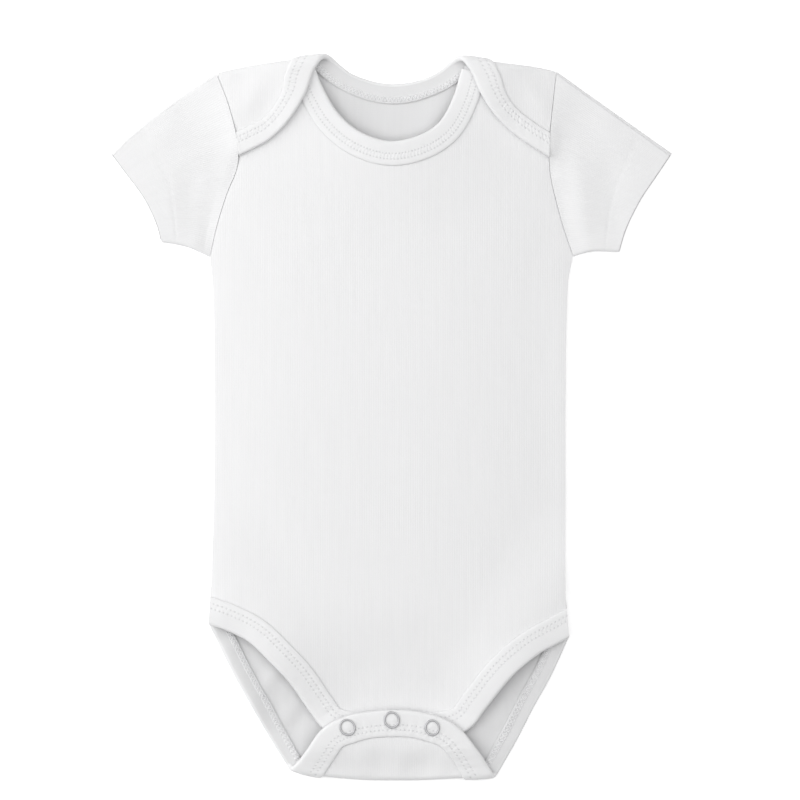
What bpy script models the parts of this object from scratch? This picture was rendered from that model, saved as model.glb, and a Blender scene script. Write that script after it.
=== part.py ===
"""Infant's short-sleeved bodysuit with lapped shoulders, laid flat on its back, snaps fastened.

+Z is up and +Y runs from crotch to neck. Every length is in millimetres until a mesh is made.
Cloth is placed by a surface rule: a point of the cut cloth (u, v) goes to the middle of its laid
wall. The rule folds the back panel over the shoulders and up at the crotch, and lifts it where a
binding's lower leg lies underneath.
"""
import math
from collections import namedtuple

import bmesh
import bpy
import numpy as np
from mathutils import Vector
from mathutils.geometry import delaunay_2d_cdt

MM = 0.001

# Cloth
WALL = 1.0                      # thickness of every cloth wall
GAP = 0.3                       # clearance between neighbouring walls
PLY = WALL + GAP                # from the middle of one wall to the middle of the next
HALF = WALL / 2
SEAM = 0.2                      # each piece stops this far short of a butted seam

# Bindings: a strip folded round the raw edge
EDGE_R = PLY + HALF             # outer radius of the fold round the edge
BORE_R = PLY - HALF             # inner radius of that fold
NECK_OUTER, NECK_INNER = 14.8, 12.4
LEG_OUTER, LEG_INNER = 16.0, 11.0
FADE = 26.0                     # length over which a panel comes down from a bound edge
LEAN = 26.0                     # length over which a strip's end turns to meet its seam

# How the garment lies
LOFT = 6.0                      # height of the air between chest and back
LOFT_HALF_WIDTH = 108.0
LOFT_POWER = 3.0
LOFT_Y = (-180.0, -110.0, 150.0, 214.0)  # loft starts, is full, starts to fall, is low
LOFT_FALL = 0.85                # share of the loft that is gone at the shoulders
CROTCH_FOLD_R = 2.4             # middle radius of the fold under the crotch
FLAP_RISE_Y = (-212.0, -195.0)  # the crotch flap climbs onto the front between these
SNAP_ROOM = 2.4                 # height taken by the fastened snaps
FOLD_ROWS = 6
FOLD_MARGIN = 4.0               # spacing of the lines before and after each fold
NECK_FREE = 21.0                # the neckline is clear of the shoulder fold within this of the middle
FOLD_STEP = 1.6                 # spacing along an edge that goes round a fold
NET_CLEAR = 0.5                 # inner points keep this far from an outline
LEG_SPANS = 2                   # faces across one leg of a binding

# Sleeves
SLEEVE_FOLD_R = 1.6             # middle radius of a sleeve's two folded edges
SLEEVE_LOFT = 0.6
SLEEVE_RISE = 0.3               # share of its length over which a sleeve leaves the body's height
LAP_STEP = 6.0                  # the seam comes up onto the lap's end over this, each way
HEM_DEPTH = 23.0
HEM_EXTRA = 0.5                 # the turned hem thickens the wall on its inner side

# Ring snaps
RING_OUT_R, RING_IN_R, RING_H = 5.0, 3.75, 0.9
SOCKET_R, SOCKET_HOLE_R, SOCKET_H = 4.4, 2.2, 1.1
STUD_R, STUD_H, POST_R, POST_H = 4.2, 0.7, 1.7, 1.0
TURN_STEPS = 18

LEFT, RIGHT = 0, 1
Row = namedtuple("Row", "left_x left_y right_x right_y")
Finish = namedtuple("Finish", "red green blue roughness metallic")
Path = namedtuple("Path", "line leans skew")
Gape = namedtuple("Gape", "x y radius rise")

# Each table lists points of an edge on the left (-X) and on the right (+X) of the laid garment.
SHOULDER_FOLD = [Row(-104.5, 205.5, 98.5, 206.5), Row(-84.0, 210.0, 80.0, 210.5),
                 Row(-66.5, 213.5, 61.0, 213.5), Row(-49.0, 216.3, 48.0, 215.5),
                 Row(-39.0, 217.0, 41.5, 216.0)]
ARMHOLE = [Row(-104.5, 205.5, 98.5, 206.5), Row(-97.0, 186.0, 96.5, 189.0),
           Row(-91.5, 163.0, 94.3, 166.0), Row(-92.0, 149.0, 94.5, 147.0),
           Row(-98.0, 134.0, 98.0, 130.0), Row(-104.0, 115.0, 103.0, 112.0),
           Row(-108.5, 95.5, 108.5, 96.0)]
SIDE = [Row(-108.5, 95.5, 108.5, 96.0), Row(-106.5, 76.0, 105.5, 79.0),
        Row(-105.5, 10.0, 104.0, 10.0), Row(-106.0, -50.0, 104.0, -50.0),
        Row(-107.5, -100.5, 104.0, -108.0), Row(-109.0, -123.5, 106.0, -131.5)]
LAP_EDGE = [Row(-90.9, 156.0, 94.0, 155.0), Row(-84.5, 159.0, 83.0, 162.0),
            Row(-72.5, 165.5, 71.0, 170.5), Row(-60.5, 177.5, 60.0, 182.0),
            Row(-51.0, 193.0, 52.5, 194.0), Row(-45.0, 208.5, 46.5, 207.0)]
BACK_NECK = [Row(-39.0, 217.0, 41.5, 216.0), Row(-28.0, 208.0, 31.0, 208.5),
             Row(-16.0, 202.0, 18.5, 201.8), Row(0.5, 199.0, 0.5, 199.0)]
FRONT_NECK = [Row(-48.0, 217.0, 44.5, 217.0), Row(-45.0, 207.0, 41.3, 206.0),
              Row(-40.0, 195.0, 37.0, 191.5), Row(-31.0, 180.5, 29.0, 176.5),
              Row(-18.0, 169.8, 17.0, 168.2), Row(-0.5, 164.5, -0.5, 164.5)]
FRONT_LEG = [Row(-109.0, -123.5, 106.0, -131.5), Row(-96.5, -128.0, 98.5, -135.5),
             Row(-84.5, -134.5, 87.5, -141.5), Row(-72.5, -146.0, 72.0, -154.5),
             Row(-60.5, -159.0, 56.0, -174.5), Row(-48.5, -176.5, 48.5, -184.5),
             Row(-40.0, -186.5, 39.5, -189.8), Row(-26.0, -191.6, 26.0, -192.3),
             Row(0.0, -192.8, 0.0, -192.8)]
BACK_LEG = [Row(-109.0, -123.5, 106.0, -131.5), Row(-96.5, -149.0, 95.5, -154.5),
            Row(-84.5, -171.0, 84.5, -174.5), Row(-72.5, -192.0, 75.0, -193.0),
            Row(-61.5, -210.5, 62.0, -215.5)]
FLAP_EDGE = [Row(-57.0, -206.5, 58.0, -208.5), Row(-50.0, -197.5, 53.0, -200.5),
             Row(-43.0, -187.5, 42.5, -187.0), Row(-34.0, -181.0, 33.0, -180.3),
             Row(-19.0, -176.2, 17.0, -175.6), Row(0.0, -174.5, 0.0, -174.5)]
CROTCH_FOLD = [Row(-61.5, -210.5, 62.0, -215.5), Row(-51.5, -214.0, 52.0, -216.6),
               Row(-40.0, -216.0, 40.0, -217.0), Row(-20.0, -216.8, 20.0, -217.0),
               Row(0.0, -217.0, 0.0, -217.0)]
SLEEVE_TOP = [Row(-104.5, 205.5, 98.5, 206.5), Row(-132.5, 187.0, 124.5, 188.0),
              Row(-156.5, 168.0, 148.5, 171.0), Row(-167.0, 157.5, 167.0, 157.5)]
CUFF = [Row(-167.0, 157.5, 167.0, 157.5), Row(-158.5, 146.0, 157.5, 143.5),
        Row(-147.5, 131.0, 148.5, 130.0), Row(-140.0, 115.5, 140.0, 113.0),
        Row(-137.0, 104.5, 135.5, 98.5)]
SLEEVE_UNDER = [Row(-137.0, 104.5, 135.5, 98.5), Row(-122.0, 101.5, 120.0, 98.8),
                Row(-108.5, 95.5, 108.5, 96.0)]
# Where an open edge of the front stands up from the back
GAPES = [Gape(-70.0, -150.0, 28.0, 2.5), Gape(70.0, -156.0, 28.0, 2.5), Gape(0.0, 166.0, 35.0, 1.8)]
SNAPS = {"left": (-26.0, -185.5), "middle": (0.3, -181.0), "right": (25.0, -185.8)}

CLOTH = Finish(0.90, 0.90, 0.90, 0.85, 0.0)
BINDING = Finish(0.93, 0.93, 0.93, 0.8, 0.0)
STEEL = Finish(0.72, 0.72, 0.72, 0.25, 1.0)


# ---------------------------------------------------------------- plane curves

def knots(table, side):
    """The points of one side of a table."""
    if side == LEFT:
        return [(row.left_x, row.left_y) for row in table]
    return [(row.right_x, row.right_y) for row in table]


def spline(points, step):
    """A smooth curve through the points, as an array with a point about every step."""
    pts = np.array(points, float)
    ends = np.vstack([2 * pts[0] - pts[1], pts, 2 * pts[-1] - pts[-2]])
    out = [pts[0]]
    for i in range(len(pts) - 1):
        p0, p1, p2, p3 = ends[i:i + 4]
        span = np.linalg.norm(p2 - p1)
        m1 = (p2 - p0) * span / (span + np.linalg.norm(p1 - p0))
        m2 = (p3 - p1) * span / (span + np.linalg.norm(p3 - p2))
        count = max(2, int(8 * span / step))
        for k in range(1, count + 1):
            t = k / count
            out.append((2 * t**3 - 3 * t**2 + 1) * p1 + (t**3 - 2 * t**2 + t) * m1
                       + (3 * t**2 - 2 * t**3) * p2 + (t**3 - t**2) * m2)
    return even(np.array(out), step)


def even(line, step):
    """The same line with evenly spaced points."""
    length = np.concatenate([[0], np.cumsum(np.linalg.norm(np.diff(line, axis=0), axis=1))])
    count = max(2, round(length[-1] / step) + 1)
    at = np.linspace(0, length[-1], count)
    return np.column_stack([np.interp(at, length, line[:, k]) for k in (0, 1)])


def both_sides(table, step):
    """One curve from the left side's first point, through the middle, to the right's first."""
    middle = knots(table, RIGHT)[::-1]
    return spline(knots(table, LEFT) + middle[1:], step)


def extended(line):
    """The line carried straight on before its first point, past the seam that it ends at."""
    first = line[0] + (line[0] - line[1]) / np.linalg.norm(line[0] - line[1]) * 2 * LEG_OUTER
    return np.vstack([first, line])


def part_way(line, t):
    """The point a share t of the way along an evenly spaced line."""
    at = t * (len(line) - 1)
    return np.array([np.interp(at, range(len(line)), line[:, axis]) for axis in (0, 1)])


def inset(line, depth):
    """The line moved to its left by a depth."""
    return line + left_normals(line) * depth


def left_normals(line):
    """Unit normals to the left of each point of a line."""
    along = np.gradient(line, axis=0)
    along /= np.linalg.norm(along, axis=1)[:, None]
    return np.column_stack([-along[:, 1], along[:, 0]])


def distance(x, y, line):
    """Distance from a point to a line."""
    start, run = line[:-1], np.diff(line, axis=0)
    rel = np.array([x, y]) - start
    t = np.clip((rel * run).sum(axis=1) / (run * run).sum(axis=1), 0, 1)
    return float(np.sqrt(((rel - t[:, None] * run)**2).sum(axis=1).min()))


def smooth(value, low, high):
    """0 below low, 1 above high, with a soft step between."""
    t = min(1.0, max(0.0, (value - low) / (high - low)))
    return t * t * (3 - 2 * t)


# ---------------------------------------------------------------- how the cloth lies

SHOULDERS = (spline(knots(SHOULDER_FOLD, LEFT), 2.0), spline(knots(SHOULDER_FOLD, RIGHT)[::-1], 2.0))
CROTCH_LINE = both_sides(CROTCH_FOLD, 2.0)
FRONT_NECK_LINE = both_sides(FRONT_NECK, 4.0)
FRONT_LEG_LINE = extended(extended(both_sides(FRONT_LEG, 4.0))[::-1])
HIPS = [extended(spline(knots(BACK_LEG, side), 4.0)) for side in (LEFT, RIGHT)]
GROUND_EDGES = (both_sides(BACK_NECK, 4.0), *HIPS)
LAP_LINES = [extended(spline(knots(LAP_EDGE, side) + knots(BACK_NECK, side)[:1], 4.0))
             for side in (LEFT, RIGHT)]
FLAP_LINE = both_sides([BACK_LEG[-1]] + FLAP_EDGE, 4.0)


def lift(x, y, lines):
    """1 within a binding's width of any of the lines, falling to 0 beyond it."""
    near = min(distance(x, y, line) for line in lines)
    return 1 - smooth(near, LEG_OUTER + 1, LEG_OUTER + 1 + FADE)


def ground_lift(x, y):
    """Lift of the back panel and of what lies on its bindings."""
    return lift(x, y, GROUND_EDGES)


def front_height(x, y):
    """Middle of the front panel."""
    across = min(1.0, abs(x) / LOFT_HALF_WIDTH)
    start, full, falling, gone = LOFT_Y
    along = smooth(y, start, full) * (1 - LOFT_FALL * smooth(y, falling, gone))
    air = LOFT * (1 - across**LOFT_POWER) * along
    for gape in GAPES:
        near = ((x - gape.x)**2 + (y - gape.y)**2) / gape.radius**2
        air += gape.rise * math.exp(-near)
    own = lift(x, y, (FRONT_NECK_LINE, FRONT_LEG_LINE))
    return HALF + PLY + 2 * PLY * ground_lift(x, y) + air + PLY * own


def lap_height(x, y):
    """Middle of a shoulder lap where it lies on the front, without its own lift."""
    return front_height(x, y) + PLY + PLY * lift(x, y, (FRONT_NECK_LINE,))


def seam_height(x, y):
    """Middle of the body's upper layer where a sleeve is sewn on."""
    side = LEFT if x < 0 else RIGHT
    lap_end = knots(LAP_EDGE, side)[0][1]
    front = front_height(x, y)
    lap = lap_height(x, y) + PLY * lift(x, y, (LAP_LINES[side],))
    return front + (lap - front) * smooth(y, lap_end - LAP_STEP, lap_end + LAP_STEP)


def flap_height(x, y):
    """Middle of the crotch flap, without its own lift."""
    low = HALF + 2 * CROTCH_FOLD_R
    high = HALF + 3 * PLY + SNAP_ROOM + PLY
    return low + (high - low) * smooth(y, *FLAP_RISE_Y)


def fold_line(table_line, x):
    """Height on the page of a fold's outermost line at x."""
    return float(np.interp(x, table_line[:, 0], table_line[:, 1]))


def shoulder_fold(x):
    """Where the shoulder fold starts at x, and its middle radius."""
    line = SHOULDERS[LEFT] if x < 0 else SHOULDERS[RIGHT]
    top = fold_line(line, x)
    radius = (lap_height(x, top) - HALF) / 2
    lap = PLY * lift(x, top, (LAP_LINES[LEFT if x < 0 else RIGHT],))
    return top - radius - HALF - lap, radius


def crotch_fold(x):
    """Where the fold under the crotch starts at x, and its middle radius."""
    low = fold_line(CROTCH_LINE, x)
    own = PLY * lift(x, low, (FLAP_LINE,))
    return low + CROTCH_FOLD_R + HALF + own, CROTCH_FOLD_R


def back_point(u, v):
    """The back panel's middle surface: laps folded over at the shoulders, flap at the crotch."""
    side = LEFT if u < 0 else RIGHT
    on_shoulder = abs(u) > 30 and v > 180
    start, radius = shoulder_fold(u) if on_shoulder else (1e6, 1)
    end, crotch_r = crotch_fold(u) if v < -150 else (-1e6, 1)
    if v > start:
        turn = min(math.pi, (v - start) / radius)
        y = start + radius * math.sin(turn) - max(0, v - start - math.pi * radius)
        own = lift(u, y, (LAP_LINES[side],))
        base = HALF + radius * (1 - math.cos(turn))
        if turn == math.pi:
            base = lap_height(u, y)
        return np.array([u, y, base + PLY * own])
    if v < end:
        turn = min(math.pi, (end - v) / crotch_r)
        y = end - crotch_r * math.sin(turn) + max(0, end - v - math.pi * crotch_r)
        own = lift(u, y, (FLAP_LINE,))
        base = HALF + crotch_r * (1 - math.cos(turn))
        if turn == math.pi:
            base = flap_height(u, y)
        return np.array([u, y, base + PLY * own])
    return np.array([u, v, HALF + PLY * ground_lift(u, v)])


def front_point(u, v):
    """The front panel's middle surface."""
    return np.array([u, v, front_height(u, v)])


def over_shoulder(x, y):
    """A point of a lap, as laid, in the flat cut of the back panel."""
    start, radius = shoulder_fold(x)
    return (x, 2 * start + math.pi * radius - y)


def under_crotch(x, y):
    """A point of the crotch flap, as laid, in the flat cut of the back panel."""
    end, radius = crotch_fold(x)
    return (x, 2 * end - math.pi * radius - y)


def surface_normal(rule, u, v):
    """Unit normal of a surface rule: up where the cloth lies unfolded."""
    step = 0.4
    across = rule(u + step, v) - rule(u - step, v)
    along = rule(u, v + step) - rule(u, v - step)
    normal = np.cross(across, along)
    return normal / np.linalg.norm(normal)


# ---------------------------------------------------------------- meshes and objects

def material(name, finish):
    """The Principled material of one piece."""
    made = bpy.data.materials.new(name)
    made.use_nodes = True
    shader = made.node_tree.nodes["Principled BSDF"]
    shader.inputs["Base Color"].default_value = (finish.red, finish.green, finish.blue, 1)
    shader.inputs["Roughness"].default_value = finish.roughness
    shader.inputs["Metallic"].default_value = finish.metallic
    return made


def piece(name, verts, faces, finish, collection):
    """A named object from points in millimetres and faces."""
    mesh = bpy.data.meshes.new(name)
    mesh.from_pydata([Vector(v) * MM for v in verts], [], faces)
    mesh.validate()
    mesh.shade_smooth()
    mesh.set_sharp_from_angle(angle=math.radians(40))
    mesh.materials.append(material(name, finish))
    obj = bpy.data.objects.new(name, mesh)
    collection.objects.link(obj)
    return obj


def inside(point, outline):
    """Whether a point is within a closed outline."""
    x, y = point
    a, b = outline, np.roll(outline, -1, axis=0)
    crosses = (a[:, 1] > y) != (b[:, 1] > y)
    with np.errstate(divide="ignore", invalid="ignore"):
        at = a[:, 0] + (y - a[:, 1]) * (b[:, 0] - a[:, 0]) / (b[:, 1] - a[:, 1])
    return bool((crosses & (x < at)).sum() % 2)


def panel(name, outline, nets, rows, rule, finish, collection):
    """A cloth wall from its cut outline, nets of points that its faces follow, and loose rows."""
    closed = np.vstack([outline, outline[:1]])
    points = [tuple(p) for p in outline]
    count = len(outline)
    place = {p: i for i, p in enumerate(points)}
    edges = {(i, (i + 1) % count) for i in range(count)}

    def index(p):
        """Number of a point, added if it is new and clear of the outline, or None."""
        key = (float(p[0]), float(p[1]))
        if key not in place:
            if not inside(key, outline) or distance(*key, closed) < NET_CLEAR:
                return None
            place[key] = len(points)
            points.append(key)
        return place[key]

    for net in nets:
        numbers = [[index(p) for p in line] for line in net]
        for k, line in enumerate(numbers):
            after = numbers[k + 1] if k + 1 < len(numbers) else [None] * len(line)
            pairs = list(zip(line, line[1:])) + list(zip(line, after))
            edges |= {pair for pair in pairs if None not in pair and pair[0] != pair[1]}
    for row, clear in rows:
        for p in row:
            near = np.abs(np.array(points[count:] or [(1e6, 1e6)]) - p).max(axis=1).min()
            if near > clear and inside(p, outline) and distance(*p, closed) > clear:
                points.append((float(p[0]), float(p[1])))
    edges = sorted({tuple(sorted(pair)) for pair in edges})
    verts, _, faces, *_ = delaunay_2d_cdt([Vector(p) for p in points], edges, [], 1, 1e-4)
    middle = [rule(p.x, p.y) for p in verts]
    normal = [surface_normal(rule, p.x, p.y) for p in verts]
    top = [m + n * HALF for m, n in zip(middle, normal)]
    bottom = [m - n * HALF for m, n in zip(middle, normal)]
    return piece(name, top + bottom, walled(faces, len(verts)), finish, collection)


def walled(faces, count):
    """Faces of a closed wall from the faces of its upper sheet."""
    upward = [tuple(f) for f in faces]
    directed = {(f[i], f[(i + 1) % len(f)]) for f in upward for i in range(len(f))}
    rim = [(a, b) for a, b in directed if (b, a) not in directed]
    sides = [(b, a, a + count, b + count) for a, b in rim]
    return upward + [tuple(i + count for i in reversed(f)) for f in upward] + sides


def loft(name, rings, finish, collection, capped):
    """A solid through rings of equal size, closed by end caps or by joining last to first."""
    size = len(rings[0])
    verts = [p for ring in rings for p in ring]
    faces = []
    for i in range(len(rings) if not capped else len(rings) - 1):
        a, b = i * size, ((i + 1) % len(rings)) * size
        for k in range(size):
            n = (k + 1) % size
            faces.append((a + k, a + n, b + n, b + k))
    if capped:
        faces.append(tuple(range(size - 1, -1, -1)))
        last = (len(rings) - 1) * size
        faces.append(tuple(last + k for k in range(size)))
    obj = piece(name, verts, faces, finish, collection)
    shape = bmesh.new()
    shape.from_mesh(obj.data)
    bmesh.ops.recalc_face_normals(shape, faces=shape.faces)
    if shape.calc_volume(signed=True) < 0:
        bmesh.ops.reverse_faces(shape, faces=shape.faces)
    shape.to_mesh(obj.data)
    shape.free()
    return obj


def leg_widths(width, full):
    """Distances in from the edge of the points across one leg of a strip."""
    even_spread = [EDGE_R + (full - EDGE_R) * k / LEG_SPANS for k in range(LEG_SPANS)]
    return [w for w in even_spread if w < width - 1] + [width]


def binding_section(upper, lower):
    """The U of a folded strip: distance in from the edge, and offset from the panel's middle."""
    full = max(upper, lower)
    above, below = leg_widths(upper, full), leg_widths(lower, full)
    outer = [(w, EDGE_R) for w in above[::-1]]
    for angle in (45, 0, -45):
        turn = math.radians(angle)
        outer.append((EDGE_R * (1 - math.cos(turn)), EDGE_R * math.sin(turn)))
    outer += [(w, -EDGE_R) for w in below]
    nose = EDGE_R - BORE_R
    inner = [(w, -BORE_R) for w in below[:0:-1]]
    inner += [(nose + 0.3, -BORE_R), (nose, 0.0), (nose + 0.3, BORE_R)]
    inner += [(w, BORE_R) for w in above[1:]]
    return outer + inner


def leaned(line, leans):
    """Inward directions along a line, turned near its ends to lie along the seams there."""
    inward = left_normals(line)
    length = np.concatenate([[0], np.cumsum(np.linalg.norm(np.diff(line, axis=0), axis=1))])
    out = inward.copy()
    for lean, from_end in zip(leans, (length, length[-1] - length)):
        if lean is None:
            continue
        lean = np.array(lean) / np.linalg.norm(lean)
        for i, gone in enumerate(from_end):
            share = 1 - smooth(gone, 0, LEAN)
            if share > 0:
                turned_in = (1 - share) * inward[i] + share * lean
                out[i] = turned_in / (turned_in @ inward[i])
    return out


def ribs(path, width):
    """Lines of cut points across a bound edge, from under its fold to the strip's full width."""
    return [[path.skew(*start, inward, w) for w in leg_widths(width, width)]
            for start, inward in zip(path.line, leaned(path.line, path.leans))]


def binding(name, path, widths, rule, finish, collection):
    """A strip folded round an edge that has the cloth to its left.

    Widths are those of the leg above the cut cloth and of the leg below it.
    """
    section = binding_section(*widths)
    rings = []
    for (u0, v0), inward in zip(path.line, leaned(path.line, path.leans)):
        ring = []
        for width, height in section:
            u, v = path.skew(u0, v0, inward, width)
            ring.append(rule(u, v) + surface_normal(rule, u, v) * height)
        rings.append(ring)
    return loft(name, rings, finish, collection, capped=True)


def straight(u0, v0, inward, width):
    """A point at a distance square in from the edge."""
    return u0 + inward[0] * width, v0 + inward[1] * width


def fold_offset(u, v):
    """How near a cut point is to a fold, and that fold's line."""
    if v > 180 and abs(u) > NECK_FREE:
        start, radius = shoulder_fold(u)
        return abs(v - start - math.pi * radius / 2), shoulder_fold
    if v < -180:
        end, radius = crotch_fold(u)
        return abs(v - end + math.pi * radius / 2), crotch_fold
    return 1e6, None


def along_fold(u0, v0, inward, width):
    """As straight, but close to a fold the strip is measured along the fold's own line."""
    near, fold = fold_offset(u0, v0)
    square = straight(u0, v0, inward, width)
    blend = 1 - smooth(near, LEG_OUTER, LEG_OUTER + 18)
    if fold is shoulder_fold:
        blend *= smooth(abs(u0), NECK_FREE, NECK_FREE + 14)
    if fold is None or blend == 0:
        return square
    reach = 1 / max(0.5, abs(inward[0]))
    u = u0 + math.copysign(width * reach, inward[0])
    here = fold(u0)[0] + phase(fold, u0)
    there = fold(u)[0] + phase(fold, u)
    v = v0 + there - here
    return (square[0] * (1 - blend) + u * blend, square[1] * (1 - blend) + v * blend)


def phase(fold, u):
    """From a fold's start to its middle in the cut."""
    turn = math.pi * fold(u)[1] / 2
    return turn if fold is shoulder_fold else -turn


# ---------------------------------------------------------------- cut outlines

def back_neck_path(step):
    """Cut edge from the right lap's armhole end, round the back neck, to the left lap's."""
    right = [over_shoulder(x, y) for x, y in knots(LAP_EDGE, RIGHT)]
    left = [over_shoulder(x, y) for x, y in knots(LAP_EDGE, LEFT)]
    neck_right, neck_left = knots(BACK_NECK, RIGHT)[1:], knots(BACK_NECK, LEFT)[1:]
    return spline(right + neck_right + neck_left[::-1][1:] + left[::-1], step)


def back_leg_path(step):
    """Cut edge from the left hip, down and round the crotch flap, to the right hip."""
    flap_left = [under_crotch(x, y) for x, y in knots(FLAP_EDGE, LEFT)]
    flap_right = [under_crotch(x, y) for x, y in knots(FLAP_EDGE, RIGHT)][::-1]
    down, up = knots(BACK_LEG, LEFT)[:-1], knots(BACK_LEG, RIGHT)[::-1][1:]
    return spline(down + flap_left + flap_right[1:] + up, step)


def armhole(side, step):
    """The armhole seam of one side, from the shoulder down, moved in by the seam's gap."""
    line = spline(knots(ARMHOLE, side), step)
    return inset(line, SEAM if side == LEFT else -SEAM)


def side_seam(side, step):
    """The side seam of one side, from the underarm down."""
    return spline(knots(SIDE, side), step)


def below_fold(line, side):
    """The part of an armhole below the shoulder fold, starting exactly where the fold does."""
    fine = armhole(side, 0.2)
    start = next(p for p in fine if p[1] <= shoulder_fold(p[0])[0])
    return np.vstack([[start], [p for p in line if p[1] < start[1] - 2]])


def lap_armhole(side, step):
    """The armhole edge of a lap in the cut, from the shoulder fold outwards."""
    end = knots(LAP_EDGE, side)[0][1] + 2 * EDGE_R
    line = [p for p in below_fold(armhole(side, step), side)[1:] if p[1] > end + 2]
    last = next(p for p in armhole(side, 0.2) if p[1] <= end)
    return np.array([over_shoulder(x, y) for x, y in line + [last]])


BOUND_EDGES = (back_neck_path(4.0), back_leg_path(4.0))


def grid(low, high, step):
    """A plain grid of points over a rectangle."""
    across = np.arange(low[0], high[0] + step / 2, step)
    along = np.arange(low[1], high[1] + step / 2, step)
    return np.array([(x, y) for y in along for x in across])


def fold_net(fold, low, high, step):
    """Lines along a fold, from its start round to its end, with two more on each side."""
    lines = []
    sense = 1 if fold is shoulder_fold else -1
    for k in range(-2, FOLD_ROWS + 3):
        line = []
        for x in np.linspace(low, high, round((high - low) / step) + 1):
            start, radius = fold(x)
            turn = math.pi * radius * min(FOLD_ROWS, max(0, k)) / FOLD_ROWS
            beyond = FOLD_MARGIN * (min(0, k) + max(0, k - FOLD_ROWS))
            point = (x, start + sense * (turn + beyond))
            if min(distance(*point, edge) for edge in BOUND_EDGES) > LEG_OUTER + 2:
                line.append(point)
        lines.append(line)
    return lines


def back_outline(leg, neck):
    """Cut outline of the back panel, anticlockwise from the left hip."""
    parts = [[rib[0] for rib in leg]]
    for side in (RIGHT, LEFT):
        ground = below_fold(armhole(side, 6.5), side)
        start, radius = shoulder_fold(ground[0][0])
        turn = [(ground[0][0], start + math.pi * radius * k / FOLD_ROWS)
                for k in range(FOLD_ROWS + 1)]
        up = np.vstack([side_seam(side, 12.0)[::-1][1:-1], np.array(ground)[::-1],
                        np.array(turn)[1:], lap_armhole(side, 6.5)])
        if side == RIGHT:
            parts += [up, [rib[0] for rib in neck]]
        else:
            parts.append(up[::-1])
    return np.vstack(parts)


def front_outline(leg, neck):
    """Cut outline of the front panel, anticlockwise from the left hip."""
    parts = [[rib[0] for rib in leg]]
    neck = [rib[0] for rib in neck]
    for side in (RIGHT, LEFT):
        seam = [p for p in below_fold(armhole(side, 6.5), side) if p[1] < front_top(p[0]) - 1]
        shoulder = [(x, front_top(x)) for x, _ in spline(knots(SHOULDER_FOLD, side), 7.0)]
        corner = neck[0][0] if side == RIGHT else neck[-1][0]
        shoulder = [p for p in shoulder if abs(corner) + 2 < abs(p[0]) < abs(seam[0][0]) - 1]
        up = np.vstack([side_seam(side, 12.0)[::-1][1:-1], np.array(seam)[::-1],
                        [(seam[0][0], front_top(seam[0][0]))], np.array(shoulder),
                        [(corner, front_top(corner))]])
        if side == RIGHT:
            parts += [up, neck]
        else:
            parts.append(up[::-1])
    return np.vstack(parts)


def front_top(x):
    """How far up the front's shoulder reaches inside the shoulder fold."""
    return shoulder_fold(x)[0] - 0.5


# ---------------------------------------------------------------- the pieces

def rows_beyond(line, depths, clear):
    """Rows of points along a bound edge, past the strip's width."""
    return [(inset(line, LEG_OUTER + depth), clear) for depth in depths]


def build_back(paths, collection):
    """The back panel, its two shoulder laps and its crotch flap, cut in one."""
    leg, neck = ribs(paths["back_leg"], LEG_OUTER), ribs(paths["back_neck"], NECK_OUTER)
    nets = [leg, neck, fold_net(shoulder_fold, -101, -42, 5.0), fold_net(shoulder_fold, 45, 95, 5.0),
            fold_net(crotch_fold, -56, 56, 7.0)]
    rows = rows_beyond(back_neck_path(6.0), (6, 13, 20, 27), 2.2)
    rows += rows_beyond(back_leg_path(7.0), (7, 15, 23), 2.5)
    rows.append((grid((-100, -200), (100, 200), 24.0), 9.0))
    rows.append((grid((-100, 205), (100, 275), 7.0), 4.0))
    rows.append((grid((-50, -250), (50, -225), 9.0), 5.0))
    outline = back_outline(leg, neck)
    return panel("back_panel", outline, nets, rows, back_point, CLOTH, collection)


def build_front(paths, collection):
    """The front panel, from the shoulders under the laps to the crotch tab."""
    leg, neck = ribs(paths["front_leg"], LEG_OUTER), ribs(paths["front_neck"], NECK_OUTER)
    rows = rows_beyond(both_sides(FRONT_LEG, 7.0), (6, 13, 20), 2.2)
    rows += rows_beyond(both_sides(FRONT_NECK, 6.5)[::-1], (6, 13, 20), 2.2)
    hips = [spline(knots(BACK_LEG, LEFT), 7.0), spline(knots(BACK_LEG, RIGHT)[::-1], 7.0)]
    rows += [(inset(line, depth), 3.0) for line in hips for depth in (17, 24, 31, 38)]
    rows.append((grid((-104, -180), (104, 205), 17.0), 8.0))
    outline = front_outline(leg, neck)
    return panel("front_panel", outline, [leg, neck], rows, front_point, CLOTH, collection)


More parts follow.
